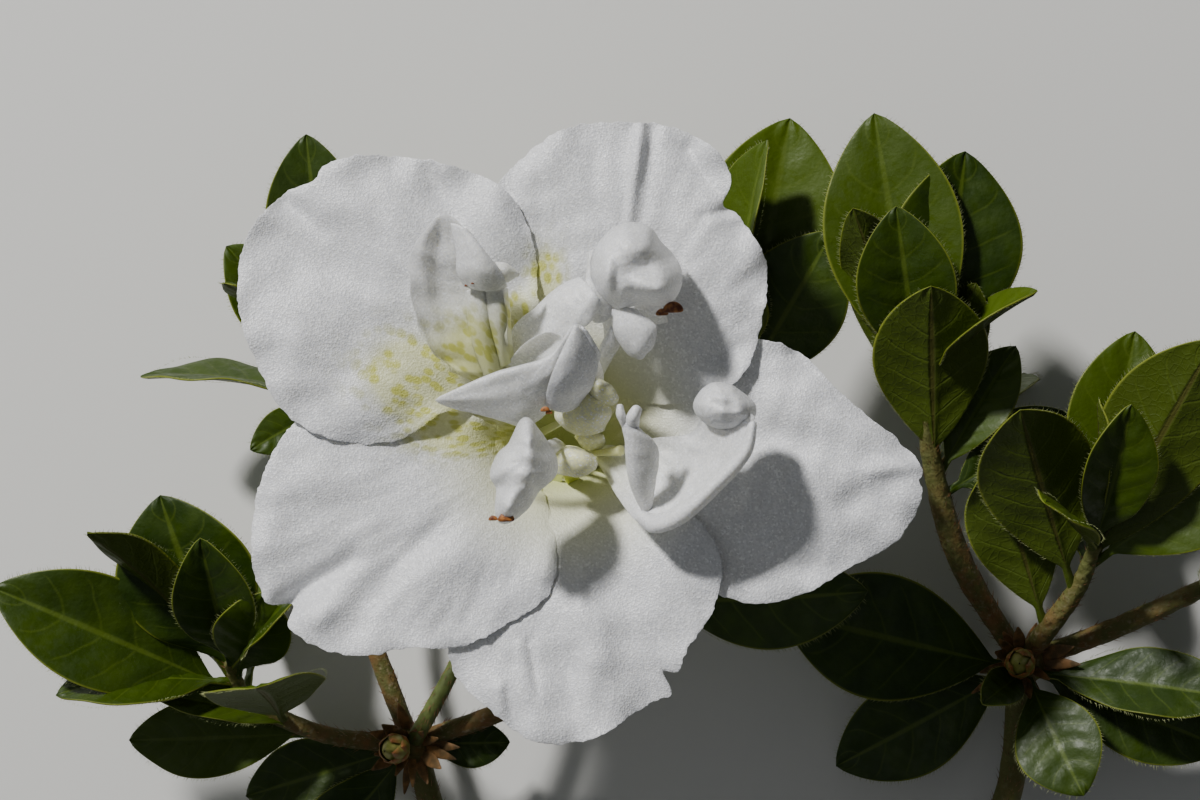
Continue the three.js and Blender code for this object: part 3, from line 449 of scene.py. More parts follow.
# Each lobe's reach in mm is given every 22.5 degrees, from the right and turning left. toward is the
# side of the bloom it points to, in degrees, and lift the solid's rise over the dish at its right and its
# left edge, seen from the throat. A notch has its turn in degrees, depth in mm and half width in degrees.
# A fold has its ends as seen pixels across and down, its rise and its half width in mm.
LOBES = {
    "upper_left": {
        "centre": (-19, 15.5),
        "radii": [15, 16.5, 17.5, 16.5, 16.5, 17.5, 18, 19, 18.5, 18, 18.5, 17.5, 15.7, 12.6, 15.4, 15.5],
        "toward": 141,
        "lift": (0.9, 0.9),
        "notches": [(127, 1, 5)],
        "folds": [(284, 204, 322, 230, -1.3, 1.3), (430, 172, 450, 215, -0.9, 1.5),
                  (262, 330, 400, 380, 0.8, 4), (350, 175, 420, 300, 0.7, 4),
                  (300, 250, 400, 330, -0.6, 3.5), (500, 190, 490, 260, 0.6, 2.5)],
        "scallop": 0.12,
    },
    "top": {
        "centre": (6.5, 20),
        "radii": [16.5, 14.5, 16.5, 16.5, 16, 16.5, 16.5, 17, 15, 13.5, 13.5, 13.5, 14, 17, 19, 17.5],
        "toward": 68,
        "lift": (0.9, -0.8),
        "notches": [(29, 1.6, 4)],
        "folds": [(642, 122, 628, 225, 0.9, 0.6), (654, 130, 641, 215, -0.6, 0.9),
                  (690, 150, 722, 205, -0.9, 1.2), (715, 140, 742, 190, 0.8, 1.2),
                  (740, 206, 705, 216, -1.2, 0.8), (690, 230, 740, 330, 0.7, 3),
                  (560, 140, 575, 230, 0.6, 2.5)],
        "scallop": 0.12,
    },
    "right": {
        "centre": (21.5, -4),
        "radii": [19.5, 15, 13.5, 14.5, 15, 13.5, 13.5, 14, 14, 13.5, 13.5, 14.5, 15.5, 15.5, 16, 19],
        "toward": -12,
        "lift": (-0.9, -0.9),
        "notches": [(-4, 0.6, 1.6), (9, 0.4, 2)],
        "folds": [(800, 352, 914, 457, -1.3, 1.5), (824, 352, 924, 450, 0.6, 1.4),
                  (925, 462, 870, 470, 1.1, 1.0),
                  (760, 468, 905, 478, 0.8, 2.6), (780, 405, 885, 448, 0.9, 2.2),
                  (850, 500, 915, 485, -0.7, 2), (720, 540, 860, 560, -0.6, 3)],
        "scallop": 0.1,
    },
    "bottom": {
        "centre": (3, -20),
        "radii": [14, 16, 15.5, 13.5, 13, 13, 13.5, 13.5, 15.5, 17.5, 16.5, 16.5, 15, 13, 13, 12],
        "toward": -82,
        "lift": (-0.8, 0.9),
        "notches": [(-41, 1.9, 3), (-48, -0.6, 3)],
        "folds": [(528, 642, 537, 692, -0.5, 0.5), (521, 646, 530, 696, 0.4, 0.7),
                  (499, 690, 507, 733, 0.5, 0.8), (507, 692, 515, 734, -0.4, 0.8),
                  (585, 540, 592, 650, 0.6, 2.5), (645, 690, 600, 590, -0.8, 2.2),
                  (566, 655, 572, 735, -0.4, 1.6), (594, 668, 590, 738, 0.6, 2)],
        "scallop": 0.12,
    },
    "lower_left": {
        "centre": (-18, -11),
        "radii": [15.5, 13.5, 13.5, 14, 14.5, 16, 18, 18, 18, 18.5, 17.5, 15.5, 13.5, 14.5, 15.5, 17.5],
        "toward": 212,
        "lift": (-0.8, 0.9),
        "notches": [(213, 2.2, 3.2)],
        "folds": [(284, 604, 352, 558, -1.9, 1.3), (362, 596, 448, 518, -1.2, 1.8),
                  (322, 618, 405, 560, 0.9, 1.7), (430, 575, 540, 500, 0.9, 3),
                  (300, 470, 420, 500, 0.7, 3.5), (268, 545, 330, 530, 0.6, 2.2)],
        "scallop": 0.14,
    },
}
LIFT_SHARE = 0.72  # thin lobes lie closer over each other than the solids
MARGIN_SAG = 0.45  # share of its lift that a raised margin loses
BROAD_WAVE = 0.42
FINE_WAVE = 0.10
RADIAL_WAVE = 0.06
MARGIN_WAVE = 0.7
THROAT_REACH = 2.3  # how much farther than the solid a lobe reaches down into the tube

# Where the flecks are: seen middle, half length across and down, in pixels
FLECKED = [((404, 372), (40, 36)), ((428, 400), (30, 24)), ((468, 438), (50, 17)), ((545, 276), (16, 30)),
           ((474, 346), (26, 28)), ((518, 314), (12, 22))]
FLECK_STRENGTH = 1.8


def flecks(x, y):
    """How strong the flecks are at a point of the petals."""
    across = VIEW_MIDDLE[0] + (x - VIEW_POINT[0]) / PIXEL
    down = VIEW_MIDDLE[1] - (y - VIEW_POINT[1]) / PIXEL
    total = 0
    for (middle_x, middle_y), (half_x, half_y) in FLECKED:
        total = total + np.exp(-((across - middle_x) / half_x) ** 2 - ((down - middle_y) / half_y) ** 2)
    return np.clip(total * FLECK_STRENGTH, 0, 1)


def petal_kept(x, y, radius):
    """What a petal's material needs at a point; the turn is cut open below the throat."""
    turn = np.mod(np.arctan2(y, x) + math.pi / 3, 2 * math.pi)
    return np.stack([radius / FAR, flecks(x, y), turn], -1)


def fold_height(folds, x, y):
    """Rise of the folds, each highest at its first end."""
    total = 0
    for across, down, end_across, end_down, rise, half in folds:
        start = seen((across, down, 0))[:2]
        run = seen((end_across, end_down, 0))[:2] - start
        held = np.clip(((x - start[0]) * run[0] + (y - start[1]) * run[1]) / (run @ run), 0, 1)
        far = np.hypot(x - start[0] - held * run[0], y - start[1] - held * run[1])
        total = total + rise * (smooth(1 - held) * 0.6 + 0.4) * bell(far / half)
    return total


def lobe_height(lobe, x, y, rim):
    """Height of a lobe's middle over the petals' level; rim is 1 at its margin."""
    r = np.hypot(x, y)
    turn = np.arctan2(y, x)
    side = LIFT_SHARE * mix(*lobe["lift"], smooth(0.5 + turn_from(lobe["toward"] * DEG, turn) / (90 * DEG)))
    height = dish(r) + (side - MARGIN_SAG * np.maximum(side, 0) * rim ** 5) * smooth((r - 7) / 8)
    height = height + fold_height(lobe["folds"], x, y) * smooth((r - 10) / 8)
    seed = int(lobe["toward"] * 7) % 97 + 3
    height = height + BROAD_WAVE * ripple(x, y, 14, seed) * smooth((r - 8) / 10)
    height = height + FINE_WAVE * ripple(x, y, 5, seed + 4) * smooth((r - 9) / 9)
    radial = RADIAL_WAVE * ripple(turn * 14, r * 0.2, 1.5, seed + 1) * smooth((r - 10) / 10)
    return height + radial + MARGIN_WAVE * ripple(x, y, 8, seed + 2) * rim ** 6


def closed_loop(rings, thickness):
    """Out over a sheet's upper face and back under it: the share of its reach, and the height."""
    loop = np.linspace(0, 2, 2 * rings + 1)[None, :-1]
    share = np.sin(np.minimum(loop, 2 - loop) * math.pi / 2)
    half = thickness / 2 * np.sqrt(np.maximum(0, 1 - share ** 8))
    return share, np.where(loop <= 1, half, -half)


def petal_lobe(name, lobe):
    """One lobe: a sheet with its own outline, closed over its margin."""
    turn = circle(300)
    reach = smooth_list(lobe["radii"], turn / (2 * math.pi), closed=True)
    for at, depth, width in lobe["notches"]:
        reach = reach - depth * bell(turn_from(at * DEG, turn) / (width * DEG))
    centre_x, centre_y = lobe["centre"]
    inward = np.arctan2(-centre_y, -centre_x)
    reach = reach + THROAT_REACH * bell(turn_from(inward, turn) / (38 * DEG))
    for part, size, seed in ((1, 1.6, 5), (0.5, 0.7, 9)):
        reach = reach + part * lobe["scallop"] * ripple(turn * 16, 0, size, seed)
    share, over = closed_loop(46, PETAL_THICKNESS)
    x = centre_x + share * (reach * np.cos(turn))[:, None]
    y = centre_y + share * (reach * np.sin(turn))[:, None]
    step = 0.05

    def fall(dx, dy):
        return lobe_height(lobe, x - dx, y - dy, share) - lobe_height(lobe, x + dx, y + dy, share)

    normal = unit(np.stack([fall(step, 0), fall(0, step), np.full_like(x, 2 * step)], -1))
    points = np.stack([x, y, lobe_height(lobe, x, y, share) + BLOOM_HEIGHT], -1) + normal * over[..., None]
    kept = petal_kept(x, y, np.hypot(x, y))
    Piece("petal_" + name).grid(points, kept, around=False, closed=True).make("corolla", "petal", PETAL)


def tube_centre(z):
    lean = np.maximum(0, (z + 6) / (TUBE_BASE + 6)) ** 1.5
    return TUBE_SHIFT[0] * lean, TUBE_SHIFT[1] * lean


def tube_radius(z):
    flare = (DISH_DEPTH / (DISH_RIM - z)) ** (1 / DISH_POWER)
    return mix(flare, TUBE_BASE_RADIUS, smooth((z + 10) / (TUBE_BASE + 10)))


def corolla_tube():
    """The tube's wall, whose flared top sinks just under the lobes that grow out of it."""
    level = mix(TUBE_TOP, TUBE_BASE, np.linspace(0, 1, 70) ** 0.8)
    slope = (tube_radius(level + 0.1) - tube_radius(level - 0.1)) / 0.2
    radius = tube_radius(level)
    over = mix(0.28, -0.4, smooth((radius - 6.5) / 4))
    lean = np.hypot(1, slope)
    turn = circle(160)
    ribs = 0.12 * np.cos(5 * turn) * smooth((radius - 3) / 3)[:, None]
    centre_x, centre_y = tube_centre(level[:, None])
    walls = []
    for offset in (over, over - TUBE_WALL):
        r = (radius - offset / lean)[:, None] + ribs
        z = (level + offset * slope / lean)[:, None] + BLOOM_HEIGHT + 0 * turn
        walls.append(np.stack([centre_x + r * np.cos(turn), centre_y + r * np.sin(turn), z], -1))
    points = np.vstack([walls[0], walls[1][::-1]])
    far = np.concatenate([radius, radius[::-1]])[:, None] + 0 * turn
    kept = petal_kept(points[..., 0], points[..., 1], far)
    Piece("corolla_tube").grid(points, kept, closed=True, flip=True).make("corolla", "petal", PETAL)


# Petal-like stamens: the claw's turn in the throat, and the blade's left, middle and right rail of
# seen points
PETALOIDS = {
    "left": (140, [
        [(478, 383, -0.6), (431, 352, 3.8), (412, 300, 6.2), (413, 250, 8.4), (438, 214, 10.2)],
        [(491, 385, -0.8), (468, 360, 2.4), (455, 310, 4.4), (450, 262, 7.1), (446, 213, 10.2)],
        [(503, 380, -0.6), (509, 347, 4), (506, 300, 7.5), (484, 252, 9.5), (453, 216, 10)],
    ]),
    "centre": (172, [
        [(600, 394, -1.6), (592, 345, 7), (575, 324, 10), (545, 356, 9.8), (490, 374, 9), (436, 398, 7.2)],
        [(590, 404, -2.2), (572, 385, 5), (556, 375, 8.6), (530, 388, 9), (490, 397, 8.3), (434, 400, 7)],
        [(579, 412, -1.6), (562, 410, 3.6), (546, 414, 4.6), (522, 425, 4.4), (480, 419, 5.2),
         (436, 402, 6.8)],
    ]),
    "middle": (110, [
        [(508, 372, -2), (504, 352, 0), (522, 315, 2), (554, 289, 3.8), (580, 276, 5)],
        [(526, 374, -3), (528, 356, 1), (548, 330, 4.8), (575, 304, 7.2), (594, 290, 7.6)],
        [(540, 372, -2), (550, 360, 2), (568, 338, 5.4), (590, 322, 6.8), (602, 304, 7)],
    ]),
    "top": (62, [
        [(590, 376, -1.3), (604, 346, 1.4), (600, 312, 3.4), (604, 280, 6)],
        [(597, 375, -1.3), (612, 345, 1.8), (611, 310, 4.2), (612, 280, 6.6)],
        [(604, 374, -1.3), (620, 344, 1.4), (622, 310, 3.4), (620, 280, 6)],
    ]),
    "right": (340, [
        [(600, 446, -4.4), (622, 446, 0), (655, 438, 1.4), (692, 432, 3.4), (704, 402, 7.6)],
        [(599, 456, -4.6), (632, 475, 0.6), (675, 480, 3), (716, 452, 5.8), (722, 396, 8.8)],
        [(598, 466, -4.4), (638, 522, 4.2), (684, 521, 6.8), (738, 465, 8.8), (756, 414, 9.2)],
    ]),
    "front": (262, [
        [(556, 444, -4), (550, 440, 3), (536, 450, 8)],
        [(563, 448, -4.6), (554, 446, 4), (538, 458, 8.4)],
        [(568, 452, -4), (556, 452, 3.6), (542, 464, 8)],
    ]),
    "inner": (30, [
        [(576, 436, -4), (572, 405, 0), (586, 378, 3)],
        [(584, 440, -5), (590, 408, -1.4), (602, 384, 3.4)],
        [(594, 436, -4), (612, 414, 0), (619, 398, 3)],
    ]),
    "small": (300, [
        [(562, 450, -5), (575, 446, -2), (590, 452, 0.5)],
        [(562, 462, -6), (578, 462, -1), (596, 462, 1.4)],
        [(562, 472, -5), (578, 476, -2), (588, 475, 0.5)],
    ]),
}
# Smaller sheets that fold over a blade or stand beside it, each on three rails too
FLAPS = {
    "left": [
        [[(450, 222, 10.6), (455, 250, 10), (456, 272, 9.2), (463, 286, 8)],
         [(462, 226, 11.6), (474, 248, 11.8), (481, 270, 11.4), (486, 291, 9.2)],
         [(472, 236, 10.8), (487, 254, 11), (500, 272, 10.2), (508, 287, 8.4)]],
        [[(494, 262, 9.8), (507, 263, 9.4), (518, 272, 8.2)],
         [(492, 272, 10), (506, 272, 10), (519, 274, 8.4)],
         [(492, 282, 9), (506, 283, 8.6), (518, 276, 8)]],
        [[(484, 378, 1), (470, 335, 4), (466, 290, 6.4)],
         [(494, 374, 2.2), (483, 334, 5.6), (479, 286, 7.8)],
         [(502, 370, 1.4), (496, 333, 4.6), (493, 288, 6.8)]],
        [[(498, 370, 1.6), (486, 325, 5.2), (482, 290, 7.3)],
         [(506, 366, 2.4), (500, 324, 6.6), (497, 286, 8.4)],
         [(514, 362, 1.4), (511, 322, 5.4), (508, 288, 7)]],
    ],
    "centre": [
        [[(545, 405, 6.6), (549, 382, 9.6), (562, 350, 10.4), (575, 325, 10.6)],
         [(560, 413, 5.6), (570, 386, 8.6), (577, 355, 9.8), (577, 325, 10.6)],
         [(577, 408, 4), (592, 384, 6), (598, 357, 7.8), (582, 330, 10.2)]],
        [[(580, 326, 10), (586, 345, 8), (588, 374, 4)],
         [(584, 328, 10.2), (594, 348, 8.4), (594, 368, 5)],
         [(586, 332, 9.6), (600, 352, 7), (598, 364, 5)]],
    ],
    "middle": [
        [[(506, 366, 1.6), (522, 345, 5.4), (545, 332, 7.8), (563, 335, 7.8)],
         [(520, 368, 1.4), (536, 352, 4.2), (551, 343, 6), (565, 338, 7.8)],
         [(534, 366, 2), (546, 360, 5), (557, 351, 7), (564, 341, 7.6)]],
    ],
    "top": [
        [[(612, 308, 5.4), (612, 330, 4.6), (628, 352, 4), (636, 358, 3.8)],
         [(625, 306, 6.6), (633, 328, 7), (638, 348, 6), (640, 359, 4.4)],
         [(638, 310, 6.4), (656, 326, 6.6), (654, 346, 5.6), (644, 357, 4.4)]],
        [[(588, 252, 5.5), (586, 290, 5.2), (593, 322, 4.6)],
         [(596, 248, 6.6), (598, 288, 6.4), (602, 323, 5)],
         [(606, 250, 6), (610, 288, 5.2), (613, 315, 4.2)]],
        [[(596, 355, 2.2), (602, 342, 3.6), (611, 327, 4.6)],
         [(602, 357, 2.4), (608, 343, 4.2), (612, 326, 4.8)],
         [(607, 356, 2.2), (615, 343, 3.6), (613, 327, 4.6)]],
        [[(634, 306, 4.4), (648, 303, 5.2), (662, 306, 4.8)],
         [(637, 314, 3.4), (650, 314, 4.2), (667, 315, 3.8)],
         [(644, 320, 2.6), (655, 323, 2.8), (668, 322, 2.8)]],
    ],
    "right": [
        [[(644, 515, 3.2), (629, 482, 6), (624, 445, 8.8), (622, 419, 10)],
         [(648, 514, 3.6), (641, 480, 7.2), (638, 448, 9.6), (631, 424, 10.4)],
         [(652, 512, 3.2), (656, 480, 6), (659, 450, 7.8), (640, 428, 9.8)]],
        [[(757, 420, 9.2), (751, 455, 9.2), (719, 492, 8), (685, 523, 7), (653, 533, 5.4), (634, 518, 4.2)],
         [(753, 420, 9.9), (745, 453, 10.2), (712, 488, 9), (681, 515, 7.9), (656, 524, 6.2),
          (638, 514, 4.6)],
         [(749, 421, 9), (737, 450, 9), (706, 482, 7.8), (677, 506, 6.8), (657, 514, 5.2),
          (642, 510, 4.2)]],
        [[(622, 427, 9.4), (616, 415, 10), (617, 406, 10.4)],
         [(625, 427, 9.8), (621, 415, 10.9), (620, 404, 10.8)],
         [(629, 426, 9.4), (625, 413, 10), (623, 406, 10.4)]],
        [[(626, 430, 9.4), (626, 418, 10.4), (632, 408, 10.8)],
         [(633, 430, 10), (633, 418, 11.3), (637, 405, 11.1)],
         [(639, 430, 9.4), (640, 418, 10.4), (642, 409, 10.8)]],
    ],
    "inner": [
        [[(582, 382, 2.4), (596, 377, 4.8), (612, 385, 5), (619, 398, 4)],
         [(581, 388, 2), (595, 388, 5), (608, 394, 5.2), (615, 403, 4)],
         [(580, 396, 1), (592, 400, 3), (602, 403, 3.6), (609, 405, 3.4)]],
        [[(556, 400, 1), (556, 420, 1.8), (574, 434, 1)],
         [(578, 390, 3), (584, 414, 4.4), (588, 435, 1.6)],
         [(600, 392, 3.4), (612, 412, 3.2), (604, 431, 1.6)]],
    ],
    "small": [
        [[(556, 452, 0), (568, 447, 1.6), (582, 449, 2), (593, 456, 1.4)],
         [(552, 463, 0), (568, 461, 2.4), (584, 462, 3), (597, 464, 1.6)],
         [(556, 474, -0.4), (570, 476, 1), (583, 477, 1.4), (593, 471, 1.2)]],
        [[(577, 440, -1), (581, 433, 0.4), (592, 431, 0.6)],
         [(588, 450, -2), (592, 440, 1), (598, 434, 1)],
         [(602, 450, -2), (606, 442, 0.2), (603, 434, 0.6)]],
    ],
}
# Crumpled ends: seen middle, rise over it, reach in pixels every 22.5 degrees, and folds, each a seen
# place, its rise, and its half length across and down in pixels
CAPS = {
    "top": {
        "middle": (634, 268, 6.4),
        "rise": 5.2,
        "reach": [47, 41, 38, 44, 46, 46, 44, 44, 44, 44, 43, 44, 38, 40, 50, 51],
        "folds": [(641, 268, -1.7, 16, 10), (661, 288, 1.2, 14, 13), (628, 296, -0.7, 12, 12),
                  (606, 272, 0.6, 6, 24), (617, 284, -0.4, 5, 20), (622, 238, 0.5, 22, 12),
                  (674, 248, -3.4, 18, 24)],
    },
    "right": {
        "middle": (725, 406, 7.6),
        "rise": 3.0,
        "reach": [31, 25, 22, 22, 23, 26, 28, 30, 32, 29, 26, 24, 24, 26, 29, 32],
        "folds": [(738, 421, -0.4, 14, 5)],
    },
    "front": {
        "middle": (525, 462, 7.2),
        "rise": 4.4,
        "reach": [33, 31, 31, 36, 45, 31, 25, 28, 32, 38, 41, 66, 50, 34, 32, 34],
        "folds": [(530, 440, 0.9, 7, 26), (503, 488, -1.1, 10, 7), (509, 508, 1.3, 10, 13),
                  (545, 462, -0.5, 8, 13)],
    },
}
# What is left of anthers: seen place and size
ANTHERS = {
    "left": [((467, 285, 8.8), 0.34), ((473, 283, 9.8), 0.26)],
    "centre": [((545, 409, 7), 0.6), ((549, 412, 6.8), 0.45)],
    "top": [((662, 312, 6.6), 0.8), ((673, 307, 7.2), 1.3)],
    "front": [((506, 517, 9.3), 1.05), ((493, 518, 7.6), 0.6)],
}
CLAW_DEPTH = -12.0
CLAW = 0.8


def sheet_points(rails, thickness, rows, columns, crumple=0.0, seed=1):
    """A thin curved sheet with pointed ends, spread between three rails along it."""

    def surface(t, s):
        a, b, c = (smooth_list(rail, t) for rail in rails)
        s = s[..., None]
        return a * (s * s - s) / 2 + b * (1 - s * s) + c * (s * s + s) / 2

    t, turn = net(rows, columns)
    s = np.cos(turn)
    lengthways = surface(np.clip(t + 0.02, 0, 1), s) - surface(np.clip(t - 0.02, 0, 1), s)
    crossways = surface(t, s + 0.02) - surface(t, s - 0.02)
    left, middle, right = (np.asarray(rail) for rail in rails)
    run = np.linalg.norm(middle[-1] - middle[0])
    half_width = np.linalg.norm(left - right, axis=-1).max() / 2
    wave = ripple(t * run, s * half_width, 6, seed) * (0.35 + 0.65 * s * s)
    wave = wave + 0.5 * (np.abs(ripple(t * run, s * half_width, 5, seed + 20)) - 0.4)
    wave = wave + 0.12 * ripple(t * run, s * half_width, 1.7, seed + 30)
    wave = crumple * min(1, half_width / 4) * wave * smooth(t * 3) * smooth((1 - t) / 0.2)
    side = -(thickness / 2) * np.sin(turn) * smooth(t / 0.05) * smooth((1 - t) / 0.03)
    points = surface(t, s) + unit(np.cross(lengthways, crossways)) * (side + wave)[..., None]
    for end in (0, -1):
        points[end] = points[end].mean(axis=0)
    return points


def cap_points(cap):
    """A crumpled cap over the end of a petaloid."""
    share, edge = closed_loop(40, PETALOID_THICKNESS)
    turn = circle(120)[:, None]
    reach = smooth_list(cap["reach"], turn / (2 * math.pi), closed=True)
    middle_x, middle_y, level = cap["middle"]
    across = middle_x + share * reach * np.cos(turn)
    down = middle_y - share * reach * np.sin(turn)
    height = level + cap["rise"] * (1 - share ** 3)
    for x, y, rise, size_x, size_y in cap["folds"]:
        height = height + rise * np.exp(-(((across - x) / size_x) ** 2) - ((down - y) / size_y) ** 2)
    size = reach.mean()
    height = height + 0.006 * size * ripple(across, down, 0.7 * size, 8) + 0.03 * ripple(across, down, 9, 14)
    return seen((across, down, height + edge))


def seen_rails(rails):
    return [seen(np.transpose(rail)) for rail in rails]


def clawed_rails(foot, rails):
    """The seen rails, led on down to a narrow claw on the throat's wall."""
    rails = seen_rails(rails)
    out = np.array([math.cos(foot * DEG), math.sin(foot * DEG)])
    aside = np.array([-out[1], out[0]])
    if (rails[0][0, :2] - rails[2][0, :2]) @ aside < 0:
        aside = -aside
    middle = np.array(tube_centre(CLAW_DEPTH)) + tube_radius(CLAW_DEPTH) * out
    feet = [[*(middle + share * CLAW * aside), CLAW_DEPTH + BLOOM_HEIGHT] for share in (1, 0, -1)]
    return [np.vstack(pair) for pair in zip(feet, rails)]


def petaloid(name, foot, rails, seed):
    """A petaloid's blade with its cap and flaps, and the anthers at its edge."""
    node = "petaloid_" + name
    piece = Piece(node + "_blade")
    spotted = name == "left"

    def add(points, **joined):
        x, y, z = np.moveaxis(points, -1, 0)
        depth = np.clip((z - BLOOM_HEIGHT + 9) / 17, 0, 1)
        kept = petal_kept(x, y, np.hypot(x, y) - 5 if spotted else mix(3, 23, depth))
        kept[..., 1] *= spotted
        piece.grid(points, kept, **joined)

    add(sheet_points(clawed_rails(foot, rails), PETALOID_THICKNESS, 60, 44, 0.5, seed))
    if name in CAPS:
        add(cap_points(CAPS[name]), around=False, closed=True)
    for k, flap in enumerate(FLAPS.get(name, [])):
        add(sheet_points(seen_rails(flap), FLAP_THICKNESS, 44, 36, 0.35, seed + 5 + k))
    if name in ("inner", "small"):
        piece.make(node, "throat", THROAT)
    else:
        piece.make(node, "petaloid", PETALOID)
    for k, (place, size) in enumerate(ANTHERS.get(name, [])):
        anther(node, k, place, size, seed + k)


def anther(node, number, place, size, seed):
    """A withered rust-brown lobe that is left of an anther, at a petaloid's edge."""
    draw = seeded(seed)
    along = unit([1, 0.9 * draw() - 0.2, 0.1])
    aside = unit(np.cross(along, [0, 0, 1]))
    u, v = net(18, 20, math.pi)
    groove = 1 - 0.35 * bell((np.sin(v) - 1) * 3)
    ring = (np.cos(u)[..., None] * along * 0.9 + (np.sin(u) * np.cos(v) * groove)[..., None] * aside * 0.5
            + (np.sin(u) * np.sin(v) * groove)[..., None] * np.array([0, 0, 0.42]))
    bent = ring + aside * (0.25 * np.cos(u) ** 2)[..., None]
    Piece(node + "_anther_" + str(number)).grid(seen(place) + bent * size).make(node, "petaloid", ANTHER)


# Round limbs, with uneven bark and a cap at each end
def limb_points(points, radii, around, along, rough=0.0, seed=1):
    """Points of the skin, and the share of the length at each of their rows."""
    t = np.concatenate([[0], np.linspace(0, 1, along), [1]])
    place, _, normal, side = frames_along(points, t)
    turn = circle(around)
    radius = smooth_list(radii, t)[:, None] + rough * ripple(t[:, None] * 60, 4 * np.cos(turn), 4, seed)
    radius[[0, -1]] = 0
    return place[:, None] + radius[..., None] * spokes(side[:, None], normal[:, None], turn), t


# The style's points, with heights over the petals' level
PISTIL = [(-3.6, -7.4, -20), (-1.2, -2.4, -12), (2.4, -2.2, -3), (6.4, -1.8, 1.2)]
PISTIL_RADII = [0.36, 0.34, 0.34, 0.34, 0.38, 0.62]


def pistil():
    points, _ = limb_points([(x, y, z + BLOOM_HEIGHT) for x, y, z in PISTIL], PISTIL_RADII, 14, 50)
    Piece("pistil_style").grid(points, [10 / FAR, 0, 0]).make("pistil", "throat", THROAT)


# Leaves
def leaf_frames(leaf, t):
    """Place and face direction along a leaf's midrib."""
    bend = leaf["arch"] * DEG or 1e-4
    t = np.asarray(t, float)[..., None]
    place = leaf["root"] + leaf["heading"] * (leaf["length"] * np.sin(bend * t) / bend)
    place = place - leaf["face"] * (leaf["length"] * (1 - np.cos(bend * t)) / bend)
    return place, leaf["face"] * np.cos(bend * t) + leaf["heading"] * np.sin(bend * t)


def leaf_width(leaf, t):
    """Half of a leaf's width."""
    stalk = 0.5
    along = np.clip((t - PETIOLE) / (1 - PETIOLE), 0, 1)
    blade = leaf["width"] / 2 * np.sin(math.pi * along ** 1.15) ** 0.76
    return np.where(t <= PETIOLE, stalk, np.maximum(blade, stalk * (1 - along)))


BLOOM_REACH = 44  # leaves within this reach stay UNDER_PETALS below the petals
UNDER_PETALS = 3
QUILT = 0.22
RIB = 0.3
RIB_REACH = 0.32
LEAF_MARGIN = 0.04
STALK_RADII = (0.62, 0.5)
HAIR_LENGTH = 0.55
HAIR_RADIUS = 0.035
HAIRS_TO_MM = 2.6
BRISTLE_LENGTH = 0.9
BRISTLE_RADIUS = 0.05


def needed_lift(leaf):
    """1 if a leaf dips into the surface, -1 if it rises into the open bloom, and 0 if it is clear."""
    side = np.cross(leaf["heading"], leaf["face"])
    fold = math.tan(leaf["fold"] * DEG)
    for t in (0.3, 0.5, 0.7, 0.85, 1):
        place, normal = leaf_frames(leaf, np.array(t))
        for share in (-1, 0, 1):
            across = share * (0 if t == 1 else float(leaf_width(leaf, t)))
            p = place + side * across + normal * abs(across) * fold
            if p[2] < SOLID_LEAF_THICKNESS / 2:
                return 1
            r = math.hypot(p[0], p[1])
            if r < BLOOM_REACH and p[2] > BLOOM_HEIGHT + dish(r) - UNDER_PETALS:
                return -1
    return 0


def settle_leaf(leaf):
    """Turns a leaf up off the surface, or down from the bloom, until it is clear."""
    for _ in range(40):
        lift = needed_lift(leaf)
        if lift == 0:
            return leaf
        leaf["heading"] = unit(leaf["heading"] + np.array([0, 0, 0.04 * lift]))
        leaf["face"] = unit(leaf["face"] - leaf["heading"] * (leaf["face"] @ leaf["heading"]))
    return None


def leaf_to_tip(root, tip, roll, share, arch=14, fold=16):
    """A leaf whose tip the photograph shows: roll turns its face from up about its length."""
    chord = seen(tip) - root
    bend = arch * DEG
    length = np.linalg.norm(chord) * bend / 2 / math.sin(bend / 2)
    chord = unit(chord)
    across = unit(np.array([0, 0, 1]) - chord * chord[2])
    across = across * math.cos(roll * DEG) + np.cross(chord, across) * math.sin(roll * DEG)
    heading = chord * math.cos(bend / 2) + across * math.sin(bend / 2)
    face = across * math.cos(bend / 2) - chord * math.sin(bend / 2)
    return {"root": root, "heading": heading, "face": face, "length": length, "width": share * length,
            "arch": arch, "fold": fold}


def leaves_of(shoot):
    """The leaves the photograph shows, then those the shoot's rule adds, as in the solids."""
    draw = seeded(shoot["seed"])

    def stem_at(t):
        place, tangent, _, _ = frames_along(shoot["points"], np.array([t]))
        return place[0], tangent[0]

    leaves = [leaf_to_tip(stem_at(at)[0], *tip) for at, *tip in shoot.get("shown", [])]
    for k in range(shoot["count"]):
        up = k / (shoot["count"] - 1) if shoot["count"] > 1 else 0
        jitter = [2 * draw() - 1 for _ in range(6)]
        turn = (shoot["turn"] + k * GOLDEN_TURN + 9 * jitter[0]) * DEG
        rise = (mix(*shoot["rise"], up) + 6 * jitter[1]) * DEG
        length = mix(*shoot["length"], up) * (1 + 0.08 * jitter[2])
        place, tangent = stem_at(mix(shoot.get("from", 0.7), 0.97, up))
        upward = unit(np.array([0, 0, 1]) - tangent * tangent[2])
        radial = upward * math.cos(turn) + np.cross(tangent, upward) * math.sin(turn)
        leaf = settle_leaf({
            "root": place,
            "heading": unit(radial * math.cos(rise) + tangent * math.sin(rise)),
            "face": unit(tangent * math.cos(rise) - radial * math.sin(rise)),
            "length": length,
            "width": length * (0.44 + 0.04 * jitter[3]),
            "arch": mix(28, 6, up) + 12 * jitter[4],
            "fold": 14 + 8 * jitter[5],
        })
        if leaf and k not in shoot.get("without", []):
            leaves.append(leaf)
    return leaves


